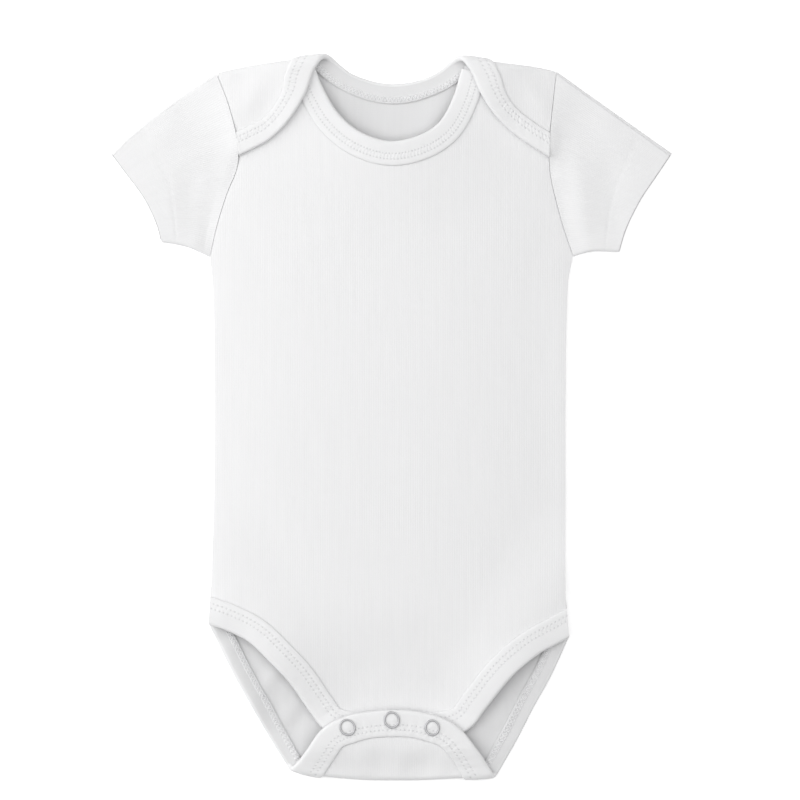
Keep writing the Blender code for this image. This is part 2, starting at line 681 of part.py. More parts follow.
def sleeve_ring(row, side, edges, span_count):
    """Outer and inner loops of a flattened tube at one row from armhole to cuff."""
    top, under, seam, cuff = edges
    rows = len(top) - 1
    s = row / rows
    a, b = top[row], under[row]
    chord = np.linalg.norm(b - a)
    margin = (SLEEVE_FOLD_R + HALF) / chord
    from_cuff = (1 - s) * np.linalg.norm(top[-1] - top[0])
    wall = WALL + HEM_EXTRA * (1 - smooth(from_cuff, HEM_DEPTH - 1, HEM_DEPTH + 3))

    def plan(t):
        """Point of the sleeve on the ground, t of the way from its top edge to its underarm."""
        flat = (1 - s) * part_way(seam, t) + s * part_way(cuff, t)
        flat = flat + (1 - t) * a + t * b
        corners = (1 - t) * ((1 - s) * seam[0] + s * cuff[0]) + t * ((1 - s) * seam[-1] + s * cuff[-1])
        return flat - corners

    def upper(t):
        """Middle of the sleeve's upper layer, level with the body where it is sewn on."""
        free = HALF + 2 * SLEEVE_FOLD_R + SLEEVE_LOFT * math.sin(math.pi * t)
        sewn = seam_height(*plan(t))
        return sewn + (free - sewn) * smooth(s, 0, SLEEVE_RISE)

    def folded_edge(t, sense, turns, offset):
        """Points round one folded edge of the tube."""
        rise = (upper(t) - HALF) / 2
        reach = (SLEEVE_FOLD_R + offset) / chord
        return [(t + sense * reach * math.sin(turn), HALF + rise + (rise + offset) * math.cos(turn))
                for turn in turns]

    spread = [margin + (1 - 2 * margin) * k / span_count for k in range(span_count + 1)]
    turns = [math.pi * k / 4 for k in (1, 2, 3)]
    loops = []
    for offset in (HALF, HALF - wall):
        loop = [(t, upper(t) + offset) for t in spread]
        loop += folded_edge(spread[-1], 1, turns, offset)
        loop += [(t, HALF - offset) for t in reversed(spread)]
        loop += folded_edge(spread[0], -1, turns[::-1], offset)
        loops.append([np.array([*plan(t), z]) for t, z in loop])
    return loops


def build_sleeve(name, side, collection):
    """A short set-in sleeve lying flat: one tube, its hem turned in at the cuff."""
    rows, spans = 8, 14
    seam = even(spline(knots(ARMHOLE, side), 2.0), 6.0)
    cuff = even(spline(knots(CUFF, side), 2.0), 3.0)
    outward = -SEAM if side == LEFT else SEAM
    seam = inset(seam, outward)

    def in_rows(line):
        """The line with one point for each row."""
        fine = even(line, 0.5)
        return fine[np.linspace(0, len(fine) - 1, rows + 1).round().astype(int)]

    top = in_rows(spline(knots(SLEEVE_TOP, side), 2.0))
    under = in_rows(spline(knots(SLEEVE_UNDER, side)[::-1], 2.0))
    top[0], under[0] = seam[0], seam[-1]
    edges = (top, under, seam, cuff)
    pairs = [sleeve_ring(row, side, edges, spans) for row in range(rows + 1)]
    rings = [pair[0] for pair in pairs] + [pair[1] for pair in reversed(pairs)]
    return loft(name, rings, CLOTH, collection, capped=False)


def bound_paths():
    """The four bound edges, each with the seams that its ends meet."""
    sides = [np.subtract(*knots(SIDE, side)[:-3:-1]) * -1 for side in (LEFT, RIGHT)]
    neck = both_sides(FRONT_NECK, 6.5)[::-1]
    neck = np.array([p for p in neck if p[1] < front_top(p[0]) - 0.5])
    laps = (lap_lean(RIGHT), lap_lean(LEFT))
    return {
        "front_neck": Path(neck, (None, None), straight),
        "back_neck": Path(dense_at_folds(back_neck_path(1.0), 6.5), laps, along_fold),
        "front_leg": Path(both_sides(FRONT_LEG, 7.0), sides, straight),
        "back_leg": Path(dense_at_folds(back_leg_path(1.0), 7.0), sides, along_fold),
    }


def build_bindings(paths, collection):
    """The four folded strips that finish the neck and the legs."""
    neck, leg = (NECK_OUTER, NECK_INNER), (LEG_OUTER, LEG_INNER)
    plan = (("front_neck", neck, front_point), ("back_neck", neck[::-1], back_point),
            ("front_leg", leg, front_point), ("back_leg", leg[::-1], back_point))
    for name, widths, rule in plan:
        binding(name + "_binding", paths[name], widths, rule, BINDING, collection)


def lap_lean(side):
    """Direction of the armhole seam across the end of a lap's binding, in the cut."""
    low = knots(LAP_EDGE, side)[0][1]
    line = armhole(side, 0.5)
    ends = [next(p for p in line if p[1] <= y) for y in (low + NECK_OUTER, low)]
    return np.subtract(over_shoulder(*ends[0]), over_shoulder(*ends[1]))


def dense_at_folds(line, step):
    """Every point of a fine line near a fold, and one each step elsewhere."""
    kept = [line[0]]
    for p in line[1:-1]:
        near = fold_offset(p[0], p[1])[0]
        spacing = FOLD_STEP if near < 2 * FOLD_MARGIN else min(step, FOLD_STEP + near / 6)
        if np.linalg.norm(p - kept[-1]) >= spacing:
            kept.append(p)
    if np.linalg.norm(line[-1] - kept[-1]) < 0.5 * step:
        kept.pop()
    return np.array(kept + [line[-1]])


def turned(name, profile, centre, height, finish, collection):
    """A turned piece from a profile of (radius, height), run down its outer side."""
    mesh = bpy.data.meshes.new(name)
    count = len(profile)
    edges = [(i, (i + 1) % count) for i in range(count)]
    if profile[0][0] == 0:
        edges = edges[:-1]
    mesh.from_pydata([(r * MM, 0, h * MM) for r, h in profile], edges, [])
    mesh.materials.append(material(name, finish))
    obj = bpy.data.objects.new(name, mesh)
    obj.location = (centre[0] * MM, centre[1] * MM, height * MM)
    collection.objects.link(obj)
    screw = obj.modifiers.new("Turn", "SCREW")
    screw.steps = TURN_STEPS
    screw.render_steps = TURN_STEPS
    screw.use_merge_vertices = True
    screw.merge_threshold = 0.00001
    screw.use_smooth_shade = True
    return obj


def build_snaps(collection):
    """Three fastened ring snaps: a ring on the flap, a socket under it, a stud on the front."""
    front_top_face = HALF + 2 * PLY + EDGE_R
    flap_top_face = flap_height(0, -180) + PLY + EDGE_R
    bevel = 0.3
    ring = [(RING_IN_R, 0), (RING_IN_R, RING_H - bevel), (RING_IN_R + bevel, RING_H),
            (RING_OUT_R - bevel, RING_H), (RING_OUT_R, RING_H - bevel), (RING_OUT_R, 0)]
    socket = [(SOCKET_HOLE_R, 0), (SOCKET_HOLE_R, SOCKET_H), (SOCKET_R, SOCKET_H), (SOCKET_R, 0)]
    stud = [(0, STUD_H + POST_H), (POST_R, STUD_H + POST_H), (POST_R, STUD_H), (STUD_R, STUD_H),
            (STUD_R, 0), (0, 0)]
    for place, centre in SNAPS.items():
        turned("snap_ring_" + place, ring, centre, flap_top_face + GAP, STEEL, collection)
        stud_base = front_top_face + GAP
        turned("snap_stud_" + place, stud, centre, stud_base, STEEL, collection)
        turned("snap_socket_" + place, socket, centre, stud_base + STUD_H + GAP, STEEL, collection)


def main():
    """Clear the scene and build every piece."""
    for old in list(bpy.data.objects):
        bpy.data.objects.remove(old, do_unlink=True)
    collection = bpy.data.collections.new("bodysuit")
    bpy.context.scene.collection.children.link(collection)
    paths = bound_paths()
    build_back(paths, collection)
    build_front(paths, collection)
    build_sleeve("sleeve_left", LEFT, collection)
    build_sleeve("sleeve_right", RIGHT, collection)
    build_bindings(paths, collection)
    build_snaps(collection)


main()
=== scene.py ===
"""Looks of an infant's short-sleeved bodysuit, laid flat on its back with its snaps fastened.

Cloth is laid by a surface rule: a point (u, v) of the cut goes to the middle of its laid wall.
Lengths are in millimetres until a mesh is made. +Y runs from crotch to neck and +Z is up.
"""
import logging
import math
from dataclasses import dataclass, field, replace
from enum import Enum
from typing import Callable, Sequence

import bmesh
import bpy
import numpy as np
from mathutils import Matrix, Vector
from mathutils.geometry import delaunay_2d_cdt


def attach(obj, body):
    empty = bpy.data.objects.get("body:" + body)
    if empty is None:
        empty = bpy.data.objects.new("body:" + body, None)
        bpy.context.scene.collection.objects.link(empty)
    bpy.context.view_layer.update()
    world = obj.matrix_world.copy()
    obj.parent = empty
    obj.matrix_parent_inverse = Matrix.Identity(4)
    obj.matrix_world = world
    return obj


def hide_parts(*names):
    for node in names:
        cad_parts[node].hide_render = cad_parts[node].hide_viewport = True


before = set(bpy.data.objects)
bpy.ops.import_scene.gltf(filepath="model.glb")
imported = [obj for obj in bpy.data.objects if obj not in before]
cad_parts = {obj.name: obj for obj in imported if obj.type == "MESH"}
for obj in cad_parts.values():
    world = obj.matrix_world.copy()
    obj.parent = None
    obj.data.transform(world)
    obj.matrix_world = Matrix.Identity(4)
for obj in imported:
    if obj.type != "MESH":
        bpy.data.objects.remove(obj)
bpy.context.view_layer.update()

LOG = logging.getLogger("bodysuit")
MM = 0.001
TURN = 2 * math.pi
BODY = "root"
SPLINE_FINENESS = 8
POINTS_AT_ONCE = 3000
Point = tuple[float, float]
Rgb = tuple[float, float, float]
Rule = Callable[[np.ndarray], np.ndarray]
Fold = Callable[[np.ndarray], tuple[np.ndarray, np.ndarray]]
Colour = tuple | bpy.types.NodeSocket


class Side(Enum):
    """Left is towards -X of the laid garment."""

    LEFT = 0
    RIGHT = 1


# ---------------------------------------------------------------- edges of the garment

@dataclass(frozen=True)
class Row:
    """A point of an edge on the left and on the right of the laid garment."""

    left_x: float
    left_y: float
    right_x: float
    right_y: float

    def at(self, side: Side) -> Point:
        """The point on one side."""
        return (self.left_x, self.left_y) if side is Side.LEFT else (self.right_x, self.right_y)


SHOULDER = Row(-104.5, 205.5, 98.5, 206.5)
NECK_CORNER = Row(-39.0, 217.0, 41.5, 216.0)
UNDERARM = Row(-108.5, 95.5, 108.5, 96.0)
HIP = Row(-109.0, -123.5, 106.0, -131.5)
CROTCH_CORNER = Row(-61.5, -210.5, 62.0, -215.5)
CUFF_TOP = Row(-167.0, 157.5, 167.0, 157.5)
CUFF_UNDER = Row(-137.0, 104.5, 135.5, 98.5)

SHOULDER_FOLD = (SHOULDER, Row(-84.0, 210.0, 80.0, 210.5), Row(-66.5, 213.5, 61.0, 213.5),
                 Row(-49.0, 216.3, 48.0, 215.5), NECK_CORNER)
ARMHOLE = (SHOULDER, Row(-97.0, 186.0, 96.5, 189.0), Row(-91.5, 163.0, 94.3, 166.0),
           Row(-92.0, 149.0, 94.5, 147.0), Row(-98.0, 134.0, 98.0, 130.0),
           Row(-104.0, 115.0, 103.0, 112.0), UNDERARM)
SIDE_SEAM = (UNDERARM, Row(-106.5, 76.0, 105.5, 79.0), Row(-105.5, 10.0, 104.0, 10.0),
             Row(-106.0, -50.0, 104.0, -50.0), Row(-107.5, -100.5, 104.0, -108.0), HIP)
LAP_EDGE = (Row(-90.9, 156.0, 94.0, 155.0), Row(-84.5, 159.0, 83.0, 162.0),
            Row(-72.5, 165.5, 71.0, 170.5), Row(-60.5, 177.5, 60.0, 182.0),
            Row(-51.0, 193.0, 52.5, 194.0), Row(-45.0, 208.5, 46.5, 207.0))
BACK_NECK = (NECK_CORNER, Row(-28.0, 208.0, 31.0, 208.5), Row(-16.0, 202.0, 18.5, 201.8),
             Row(0.5, 199.0, 0.5, 199.0))
FRONT_NECK = (Row(-48.0, 217.0, 44.5, 217.0), Row(-45.0, 207.0, 41.3, 206.0),
              Row(-40.0, 195.0, 37.0, 191.5), Row(-31.0, 180.5, 29.0, 176.5),
              Row(-18.0, 169.8, 17.0, 168.2), Row(-0.5, 164.5, -0.5, 164.5))
FRONT_LEG = (HIP, Row(-96.5, -128.0, 98.5, -135.5), Row(-84.5, -134.5, 87.5, -141.5),
             Row(-72.5, -146.0, 72.0, -154.5), Row(-60.5, -159.0, 56.0, -174.5),
             Row(-48.5, -176.5, 48.5, -184.5), Row(-40.0, -186.5, 39.5, -189.8),
             Row(-26.0, -191.6, 26.0, -192.3), Row(0.0, -192.8, 0.0, -192.8))
BACK_LEG = (HIP, Row(-96.5, -149.0, 95.5, -154.5), Row(-84.5, -171.0, 84.5, -174.5),
            Row(-72.5, -192.0, 75.0, -193.0), CROTCH_CORNER)
FLAP_EDGE = (Row(-57.0, -206.5, 58.0, -208.5), Row(-50.0, -197.5, 53.0, -200.5),
             Row(-43.0, -187.5, 42.5, -187.0), Row(-34.0, -181.0, 33.0, -180.3),
             Row(-19.0, -176.2, 17.0, -175.6), Row(0.0, -174.5, 0.0, -174.5))
CROTCH_FOLD = (CROTCH_CORNER, Row(-51.5, -214.0, 52.0, -216.6), Row(-40.0, -216.0, 40.0, -217.0),
               Row(-20.0, -216.8, 20.0, -217.0), Row(0.0, -217.0, 0.0, -217.0))
SLEEVE_TOP = (SHOULDER, Row(-132.5, 187.0, 124.5, 188.0), Row(-156.5, 168.0, 148.5, 171.0),
              CUFF_TOP)
CUFF = (CUFF_TOP, Row(-158.5, 146.0, 157.5, 143.5), Row(-147.5, 131.0, 148.5, 130.0),
        Row(-140.0, 115.5, 140.0, 113.0), CUFF_UNDER)
SLEEVE_UNDER = (CUFF_UNDER, Row(-122.0, 101.5, 120.0, 98.8), UNDERARM)


@dataclass(frozen=True)
class Snap:
    """A fastened snap: its centre, how far its ring's long axis leans and its shorter radius."""

    name: str
    centre: Point
    lean: float
    radius: float


SNAPS = (Snap("left", (-26.2, -184.7), 32.0, 4.75),
         Snap("middle", (0.2, -180.3), 14.0, 4.7),
         Snap("right", (24.3, -184.9), 5.0, 4.5))


def knots(table: Sequence[Row], side: Side) -> list[Point]:
    """The points of one side of an edge table."""
    return [row.at(side) for row in table]


def lengths_along(line: np.ndarray) -> np.ndarray:
    """Distance along a line from its first point to each of its points."""
    return np.concatenate([[0], np.cumsum(np.linalg.norm(np.diff(line, axis=0), axis=1))])


def read_line(line: np.ndarray, marks: np.ndarray, at: np.ndarray) -> np.ndarray:
    """Points of a line at given places, where marks holds the place of each of its own."""
    return np.column_stack([np.interp(at, marks, line[:, k]) for k in range(line.shape[1])])


def even(line: np.ndarray, step: float) -> np.ndarray:
    """Space the points of a line evenly.

    Args:
        line: Points of the line, any number of columns.
        step: Wanted spacing.

    Returns:
        The same line with evenly spaced points.
    """
    length = lengths_along(line)
    count = max(2, round(length[-1] / step) + 1)
    return read_line(line, length, np.linspace(0, length[-1], count))


def spline(points: Sequence[Point], step: float) -> np.ndarray:
    """Draw a smooth curve through points.

    Args:
        points: Points that the curve passes through.
        step: Spacing of the points returned.

    Returns:
        Evenly spaced points of the curve.
    """
    pts = np.array(points, float)
    ends = np.vstack([2 * pts[0] - pts[1], pts, 2 * pts[-1] - pts[-2]])
    out = [pts[0]]
    for i in range(len(pts) - 1):
        p0, p1, p2, p3 = ends[i:i + 4]
        span = np.linalg.norm(p2 - p1)
        m1 = (p2 - p0) * span / (span + np.linalg.norm(p1 - p0))
        m2 = (p3 - p1) * span / (span + np.linalg.norm(p3 - p2))
        count = max(2, int(SPLINE_FINENESS * span / step))
        for t in np.linspace(0, 1, count + 1)[1:]:
            out.append((2 * t**3 - 3 * t**2 + 1) * p1 + (t**3 - 2 * t**2 + t) * m1
                       + (3 * t**2 - 2 * t**3) * p2 + (t**3 - t**2) * m2)
    return even(np.array(out), step)


def one_side(table: Sequence[Row], side: Side, step: float) -> np.ndarray:
    """The curve of one side of an edge table."""
    return spline(knots(table, side), step)


def across_middle(first: list[Point], second: list[Point], step: float) -> np.ndarray:
    """One curve through the first side's points and back through the second's."""
    return spline(first + second[::-1][1:], step)


def both_sides(table: Sequence[Row], step: float) -> np.ndarray:
    """One curve from the left side's first point, through the middle, to the right's first."""
    return across_middle(knots(table, Side.LEFT), knots(table, Side.RIGHT), step)


def left_normals(line: np.ndarray) -> np.ndarray:
    """Find the normals to the left of a line.

    Args:
        line: Points of the line.

    Returns:
        One unit vector for each point.
    """
    along = np.gradient(line, axis=0)
    along /= np.linalg.norm(along, axis=1)[:, None]
    return np.column_stack([-along[:, 1], along[:, 0]])


def distance(points: np.ndarray, line: np.ndarray) -> np.ndarray:
    """Distance from each point to a line.

    Args:
        points: Points, one a row.
        line: Points of the line.

    Returns:
        One distance for each point.
    """
    start, run = line[:-1], np.diff(line, axis=0)
    square = (run * run).sum(axis=1)
    out = []
    for some in np.array_split(points, max(1, len(points) // POINTS_AT_ONCE)):
        rel = some[:, None, :] - start[None]
        t = np.clip((rel * run).sum(axis=2) / square, 0, 1)
        out.append(np.sqrt(((rel - t[..., None] * run)**2).sum(axis=2).min(axis=1)))
    return np.concatenate(out)


def nearest(points: np.ndarray, lines: Sequence[np.ndarray]) -> np.ndarray:
    """Distance from each point to the nearest of several lines."""
    return np.min([distance(points, line) for line in lines], axis=0)


def smooth(value: np.ndarray, low: float, high: float) -> np.ndarray:
    """0 below low, 1 above high, with a soft step between."""
    t = np.clip((np.asarray(value, float) - low) / (high - low), 0, 1)
    return t * t * (3 - 2 * t)


def within(points: np.ndarray, outline: np.ndarray) -> np.ndarray:
    """Find the points inside a closed outline.

    Args:
        points: Points, one a row.
        outline: Corners of a closed outline.

    Returns:
        Whether each point is inside the outline.
    """
    a, b = outline, np.roll(outline, -1, axis=0)
    x, y = points[:, :1], points[:, 1:]
    crosses = (a[:, 1] > y) != (b[:, 1] > y)
    rise = np.where(b[:, 1] == a[:, 1], 1e-9, b[:, 1] - a[:, 1])
    at = a[:, 0] + (y - a[:, 1]) * (b[:, 0] - a[:, 0]) / rise
    return (crosses & (x < at)).sum(axis=1) % 2 == 1


def outline_area(outline: np.ndarray) -> float:
    """Area inside a closed outline."""
    x, y = outline[:, 0], outline[:, 1]
    return abs(float((x * np.roll(y, -1) - y * np.roll(x, -1)).sum())) / 2


# ---------------------------------------------------------------- how the cloth lies

@dataclass(frozen=True)
class Crease:
    """A soft trough or ridge in the laid cloth, from one end to the other."""

    start: Point
    end: Point
    rise: float
    width: float
    rising: Point = (-0.15, 0.3)
    falling: Point = (0.7, 1.15)

    def height(self, points: np.ndarray) -> np.ndarray:
        """Height that the crease adds.

        Args:
            points: Ground points, one a row.

        Returns:
            One height for each point.
        """
        line = np.array([self.start, self.end])
        run = line[1] - line[0]
        t = ((points - line[0]) @ run) / (run @ run)
        share = smooth(t, *self.rising) * (1 - smooth(t, *self.falling))
        return self.rise * share * np.exp(-(distance(points, line) / self.width)**2)


@dataclass(frozen=True)
class Gape:
    """A place where an open edge of the front stands up from the back."""

    x: float
    y: float
    radius: float
    rise: float

    def height(self, points: np.ndarray) -> np.ndarray:
        """Height that the gape adds at each point."""
        away = (points[:, 0] - self.x)**2 + (points[:, 1] - self.y)**2
        return self.rise * np.exp(-away / self.radius**2)


FRONT_CREASES = (
    Crease((-62.0, 96.0), (-18.0, 118.0), 0.16, 7.0),
    Crease((30.0, 112.0), (78.0, 88.0), 0.15, 8.0),
    Crease((-90.0, 122.0), (-72.0, 70.0), -0.22, 6.0),
    Crease((93.0, 120.0), (82.0, 60.0), -0.20, 6.5),
    Crease((-66.0, 20.0), (-60.0, -92.0), 0.12, 10.0),
    Crease((62.0, -30.0), (50.0, -118.0), 0.12, 10.0),
    Crease((-30.0, -120.0), (-12.0, -158.0), -0.12, 5.0),
    Crease((36.0, -112.0), (16.0, -156.0), 0.13, 6.0),
    Crease((101.0, -112.0), (84.0, -122.0), 0.16, 4.0),
    Crease((107.0, 75.0), (107.0, -105.0), 1.2, 11.0),
    Crease((-98.0, -100.0), (-74.0, -116.0), 0.10, 6.0),
)
BACK_CREASES = (
    Crease((-105.5, -129.0), (-76.0, -184.0), 4.2, 7.0),
    Crease((-78.0, -164.0), (-65.5, -147.0), 1.3, 4.5),
    Crease((-66.0, -184.0), (-54.7, -169.0), 1.3, 4.5),
    Crease((-55.0, -193.0), (-47.0, -180.0), 0.9, 4.5),
    Crease((103.0, -134.0), (84.0, -166.0), 0.7, 9.0),
    Crease((62.0, -186.0), (72.0, -166.0), 1.2, 5.0),
    Crease((-24.0, 196.0), (-30.0, 172.0), 0.9, 7.0),
    Crease((30.0, 192.0), (18.0, 170.0), 0.8, 6.0),
    Crease((-44.0, 160.0), (44.0, 160.0), 3.0, 17.0),
    Crease((-86.0, -140.0), (-56.0, -169.0), 1.8, 8.0),
)
LAP_CREASES = (
    Crease((-77.0, 206.0), (-87.0, 181.0), 0.9, 5.5),
    Crease((-66.0, 200.0), (-72.0, 184.0), -0.2, 4.0),
    Crease((80.0, 200.0), (93.0, 181.0), 0.7, 5.0),
)
FLAP_CREASES = (
    Crease((-21.0, -200.0), (-12.0, -214.0), 0.62, 4.5),
    Crease((-9.0, -197.0), (-5.0, -207.0), -0.42, 4.0),
    Crease((8.0, -197.0), (4.0, -213.0), 0.60, 4.5),
    Crease((16.0, -203.0), (24.0, -214.0), -0.40, 4.0),
    Crease((29.0, -201.0), (33.0, -212.0), 0.52, 4.5),
)
SLEEVE_CREASES = (
    Crease((-119.0, 150.0), (-116.0, 104.0), -1.5, 10.0),
    Crease((-128.0, 178.0), (-146.0, 158.0), 0.5, 7.0),
    Crease((108.0, 164.0), (113.0, 110.0), 0.9, 7.0),
    Crease((130.0, 156.0), (134.0, 104.0), -1.1, 8.5),
    Crease((122.0, 180.0), (142.0, 160.0), 0.4, 7.0),
)
GAPES = (
    Gape(-72.0, -150.0, 25.0, 2.7),
    Gape(70.0, -158.0, 25.0, 3.9),
    Gape(-109.0, -121.0, 14.0, 3.0),
    Gape(-97.0, 190.0, 24.0, 3.4),
    Gape(97.0, 190.0, 24.0, 1.6),
    Gape(0.0, 166.0, 35.0, 1.8),
)


@dataclass
class LaidCloth:
    """The surface rules of the laid garment and the sizes that they follow.

    Most pairs say where a change begins and where it is complete. fullness is for the left and
    the right, and lap_zone is the least distance from the middle and the least y of a lap.
    """

    wall: float = 1.0
    gap: float = 0.3
    seam: float = 0.17
    neck_outer: float = 14.8
    neck_inner: float = 12.4
    leg_outer: float = 16.0
    leg_inner: float = 11.0
    fade: float = 26.0
    front_fade: float = 42.0
    lift_margin: float = 1.0
    side_reach: Point = (1.0, 15.0)
    side_end: Point = (40.0, 85.0)
    strip_end: Point = (0.5, 7.0)
    fullness: Point = (3.0, 2.1)
    loft: float = 6.0
    loft_half_width: float = 108.0
    loft_y: tuple[float, float, float, float] = (-180.0, -110.0, 150.0, 214.0)
    loft_fall: float = 0.85
    lap_step: float = 7.0
    lap_strip_end: Point = (-2.0, 10.0)
    lap_zone: Point = (30.0, 180.0)
    strip_rise: float = 0.8
    crotch_radius: float = 2.4
    flap_rise: Point = (-212.0, -195.0)
    flap_zone: float = -150.0
    snap_room: float = 2.4
    crease_clear: Point = (12.0, 30.0)
    fold_clear: float = 0.5
    probe: float = 0.4
    fold_step: float = 2.0
    line_step: float = 4.0
    fine_step: float = 0.2
    fold_x: np.ndarray = field(default_factory=lambda: np.arange(-125.0, 125.1, 0.5))

    def __post_init__(self) -> None:
        """Work out the lines and the two folds once."""
        self.half = self.wall / 2
        self.ply = self.wall + self.gap
        self.edge_r = self.ply + self.half
        self.bore_r = self.ply - self.half
        left, right = (knots(SHOULDER_FOLD, side) for side in Side)
        self.shoulders = {Side.LEFT: spline(left, self.fold_step),
                          Side.RIGHT: spline(right[::-1], self.fold_step)}
        self.crotch_line = both_sides(CROTCH_FOLD, self.fold_step)
        step = self.line_step
        self.front_neck_line = both_sides(FRONT_NECK, step)
        self.front_leg_line = self.extended(self.extended(both_sides(FRONT_LEG, step))[::-1])
        hips = [self.extended(one_side(BACK_LEG, side, step)) for side in Side]
        self.ground_edges = [both_sides(BACK_NECK, step), *hips]
        self.lap_lines = {side: self.extended(one_side(LAP_EDGE + BACK_NECK[:1], side, step))
                          for side in Side}
        self.side_lines = [one_side(SIDE_SEAM, side, step) for side in Side]
        self.flap_line = both_sides((BACK_LEG[-1],) + FLAP_EDGE, step)
        self.shoulder_table = self._shoulder_folds()
        self.crotch_start = self._crotch_folds()

    def extended(self, line: np.ndarray) -> np.ndarray:
        """The line carried straight on before its first point, past its seam."""
        ahead = (line[0] - line[1]) / np.linalg.norm(line[0] - line[1])
        return np.vstack([line[0] + ahead * 2 * self.leg_outer, line])

    def lift(self, points: np.ndarray, lines: Sequence[np.ndarray],
             fade: float | None = None) -> np.ndarray:
        """1 within a binding's width of any of the lines, falling to 0 beyond it."""
        full = self.leg_outer + self.lift_margin
        return 1 - smooth(nearest(points, lines), full, full + (fade or self.fade))

    @staticmethod
    def creased(points: np.ndarray, creases: Sequence[Crease]) -> np.ndarray:
        """Height that soft creases add at each point."""
        return sum((crease.height(points) for crease in creases), np.zeros(len(points)))

    def front_height(self, points: np.ndarray) -> np.ndarray:
        """Middle of the front panel.

        Args:
            points: Ground points, one a row.

        Returns:
            One height for each point.
        """
        across = np.minimum(1, np.abs(points[:, 0]) / self.loft_half_width)
        start, full, falling, gone = self.loft_y
        fallen = 1 - self.loft_fall * smooth(points[:, 1], falling, gone)
        fullness = np.where(points[:, 0] < 0, *self.fullness)
        air = self.loft * (1 - across**fullness) * smooth(points[:, 1], start, full) * fallen
        air = sum((gape.height(points) for gape in GAPES), air)
        own = self.lift(points, [self.front_neck_line, self.front_leg_line], self.front_fade)
        ground = self.lift(points, self.ground_edges, self.front_fade)
        return self.half + self.ply + 2 * self.ply * ground + air + self.ply * own

    def side_rise(self, points: np.ndarray) -> np.ndarray:
        """How far the back's margin stands up to meet the front at the side seams.

        Args:
            points: Ground points, one a row.

        Returns:
            One height for each point.
        """
        reach = ((1 - smooth(nearest(points, self.side_lines), *self.side_reach))
                 * (1 - smooth(points[:, 1], *self.side_end)))
        near = nearest(points, [self.front_leg_line, *self.ground_edges[1:]])
        strips = 1 - smooth(near, *(self.leg_outer + past for past in self.strip_end))
        back = self.half + self.ply * self.lift(points, self.ground_edges)
        gap = self.front_height(points) - self.ply * (1 + 2 * strips) - back
        return reach * np.maximum(0, gap)

    def lap_height(self, points: np.ndarray) -> np.ndarray:
        """Middle of a shoulder lap on the front, without its own lift, at each point."""
        neck = self.ply * self.lift(points, [self.front_neck_line])
        return self.front_height(points) + self.ply + neck + self.creased(points, LAP_CREASES)

    def seam_height(self, points: np.ndarray) -> np.ndarray:
        """Middle of the body's upper layer where a sleeve is sewn on.

        Args:
            points: Ground points of one side, one a row.

        Returns:
            One height for each point.
        """
        side = Side.LEFT if points[0, 0] < 0 else Side.RIGHT
        lap_end = knots(LAP_EDGE, side)[0][1]
        front = self.front_height(points)
        near = distance(points, self.lap_lines[side])
        strip = 1 - smooth(near, *(self.neck_outer + past for past in self.lap_strip_end))
        own = self.lift(points, [self.lap_lines[side]])
        lap = self.lap_height(points) + self.ply * own + self.strip_rise * strip
        onto = smooth(points[:, 1], lap_end - self.lap_step, lap_end + self.lap_step)
        return front + (lap - front) * onto

    def flap_height(self, points: np.ndarray) -> np.ndarray:
        """Middle of the crotch flap, without its own lift.

        Args:
            points: Ground points, one a row.

        Returns:
            One height for each point.
        """
        low = self.half + 2 * self.crotch_radius
        high = self.half + 4 * self.ply + self.snap_room
        level = low + (high - low) * smooth(points[:, 1], *self.flap_rise)
        return level + self.creased(points, FLAP_CREASES)

    def _shoulder_folds(self) -> dict[Side, tuple[np.ndarray, np.ndarray]]:
        """Work out the shoulders' folds.

        Returns:
            Where each side's fold starts and its middle radius, for every x of the table.
        """
        out = {}
        for side, line in self.shoulders.items():
            top = np.interp(self.fold_x, line[:, 0], line[:, 1])
            points = np.column_stack([self.fold_x, top])
            radius = (self.lap_height(points) - self.half) / 2
            own = self.ply * self.lift(points, [self.lap_lines[side]])
            out[side] = (top - radius - self.half - own, radius)
        return out

    def _crotch_folds(self) -> np.ndarray:
        """Work out the fold under the crotch.

        Returns:
            Where the fold starts, for every x of the table.
        """
        low = np.interp(self.fold_x, self.crotch_line[:, 0], self.crotch_line[:, 1])
        own = self.ply * self.lift(np.column_stack([self.fold_x, low]), [self.flap_line])
        return low + self.crotch_radius + self.half + own

    def shoulder_fold(self, x: np.ndarray) -> tuple[np.ndarray, np.ndarray]:
        """Read the shoulders' fold.

        Args:
            x: Places across the garment.

        Returns:
            Where the fold starts at each x, and its middle radius there.
        """
        x = np.atleast_1d(np.asarray(x, float))
        left, right = ([np.interp(x, self.fold_x, row) for row in self.shoulder_table[side]]
                       for side in Side)
        start, radius = (np.where(x < 0, *pair) for pair in zip(left, right))
        return start, radius

    def crotch_fold(self, x: np.ndarray) -> tuple[np.ndarray, np.ndarray]:
        """Start and middle radius of the crotch fold at each x."""
        x = np.atleast_1d(np.asarray(x, float))
        return np.interp(x, self.fold_x, self.crotch_start), np.full(len(x), self.crotch_radius)

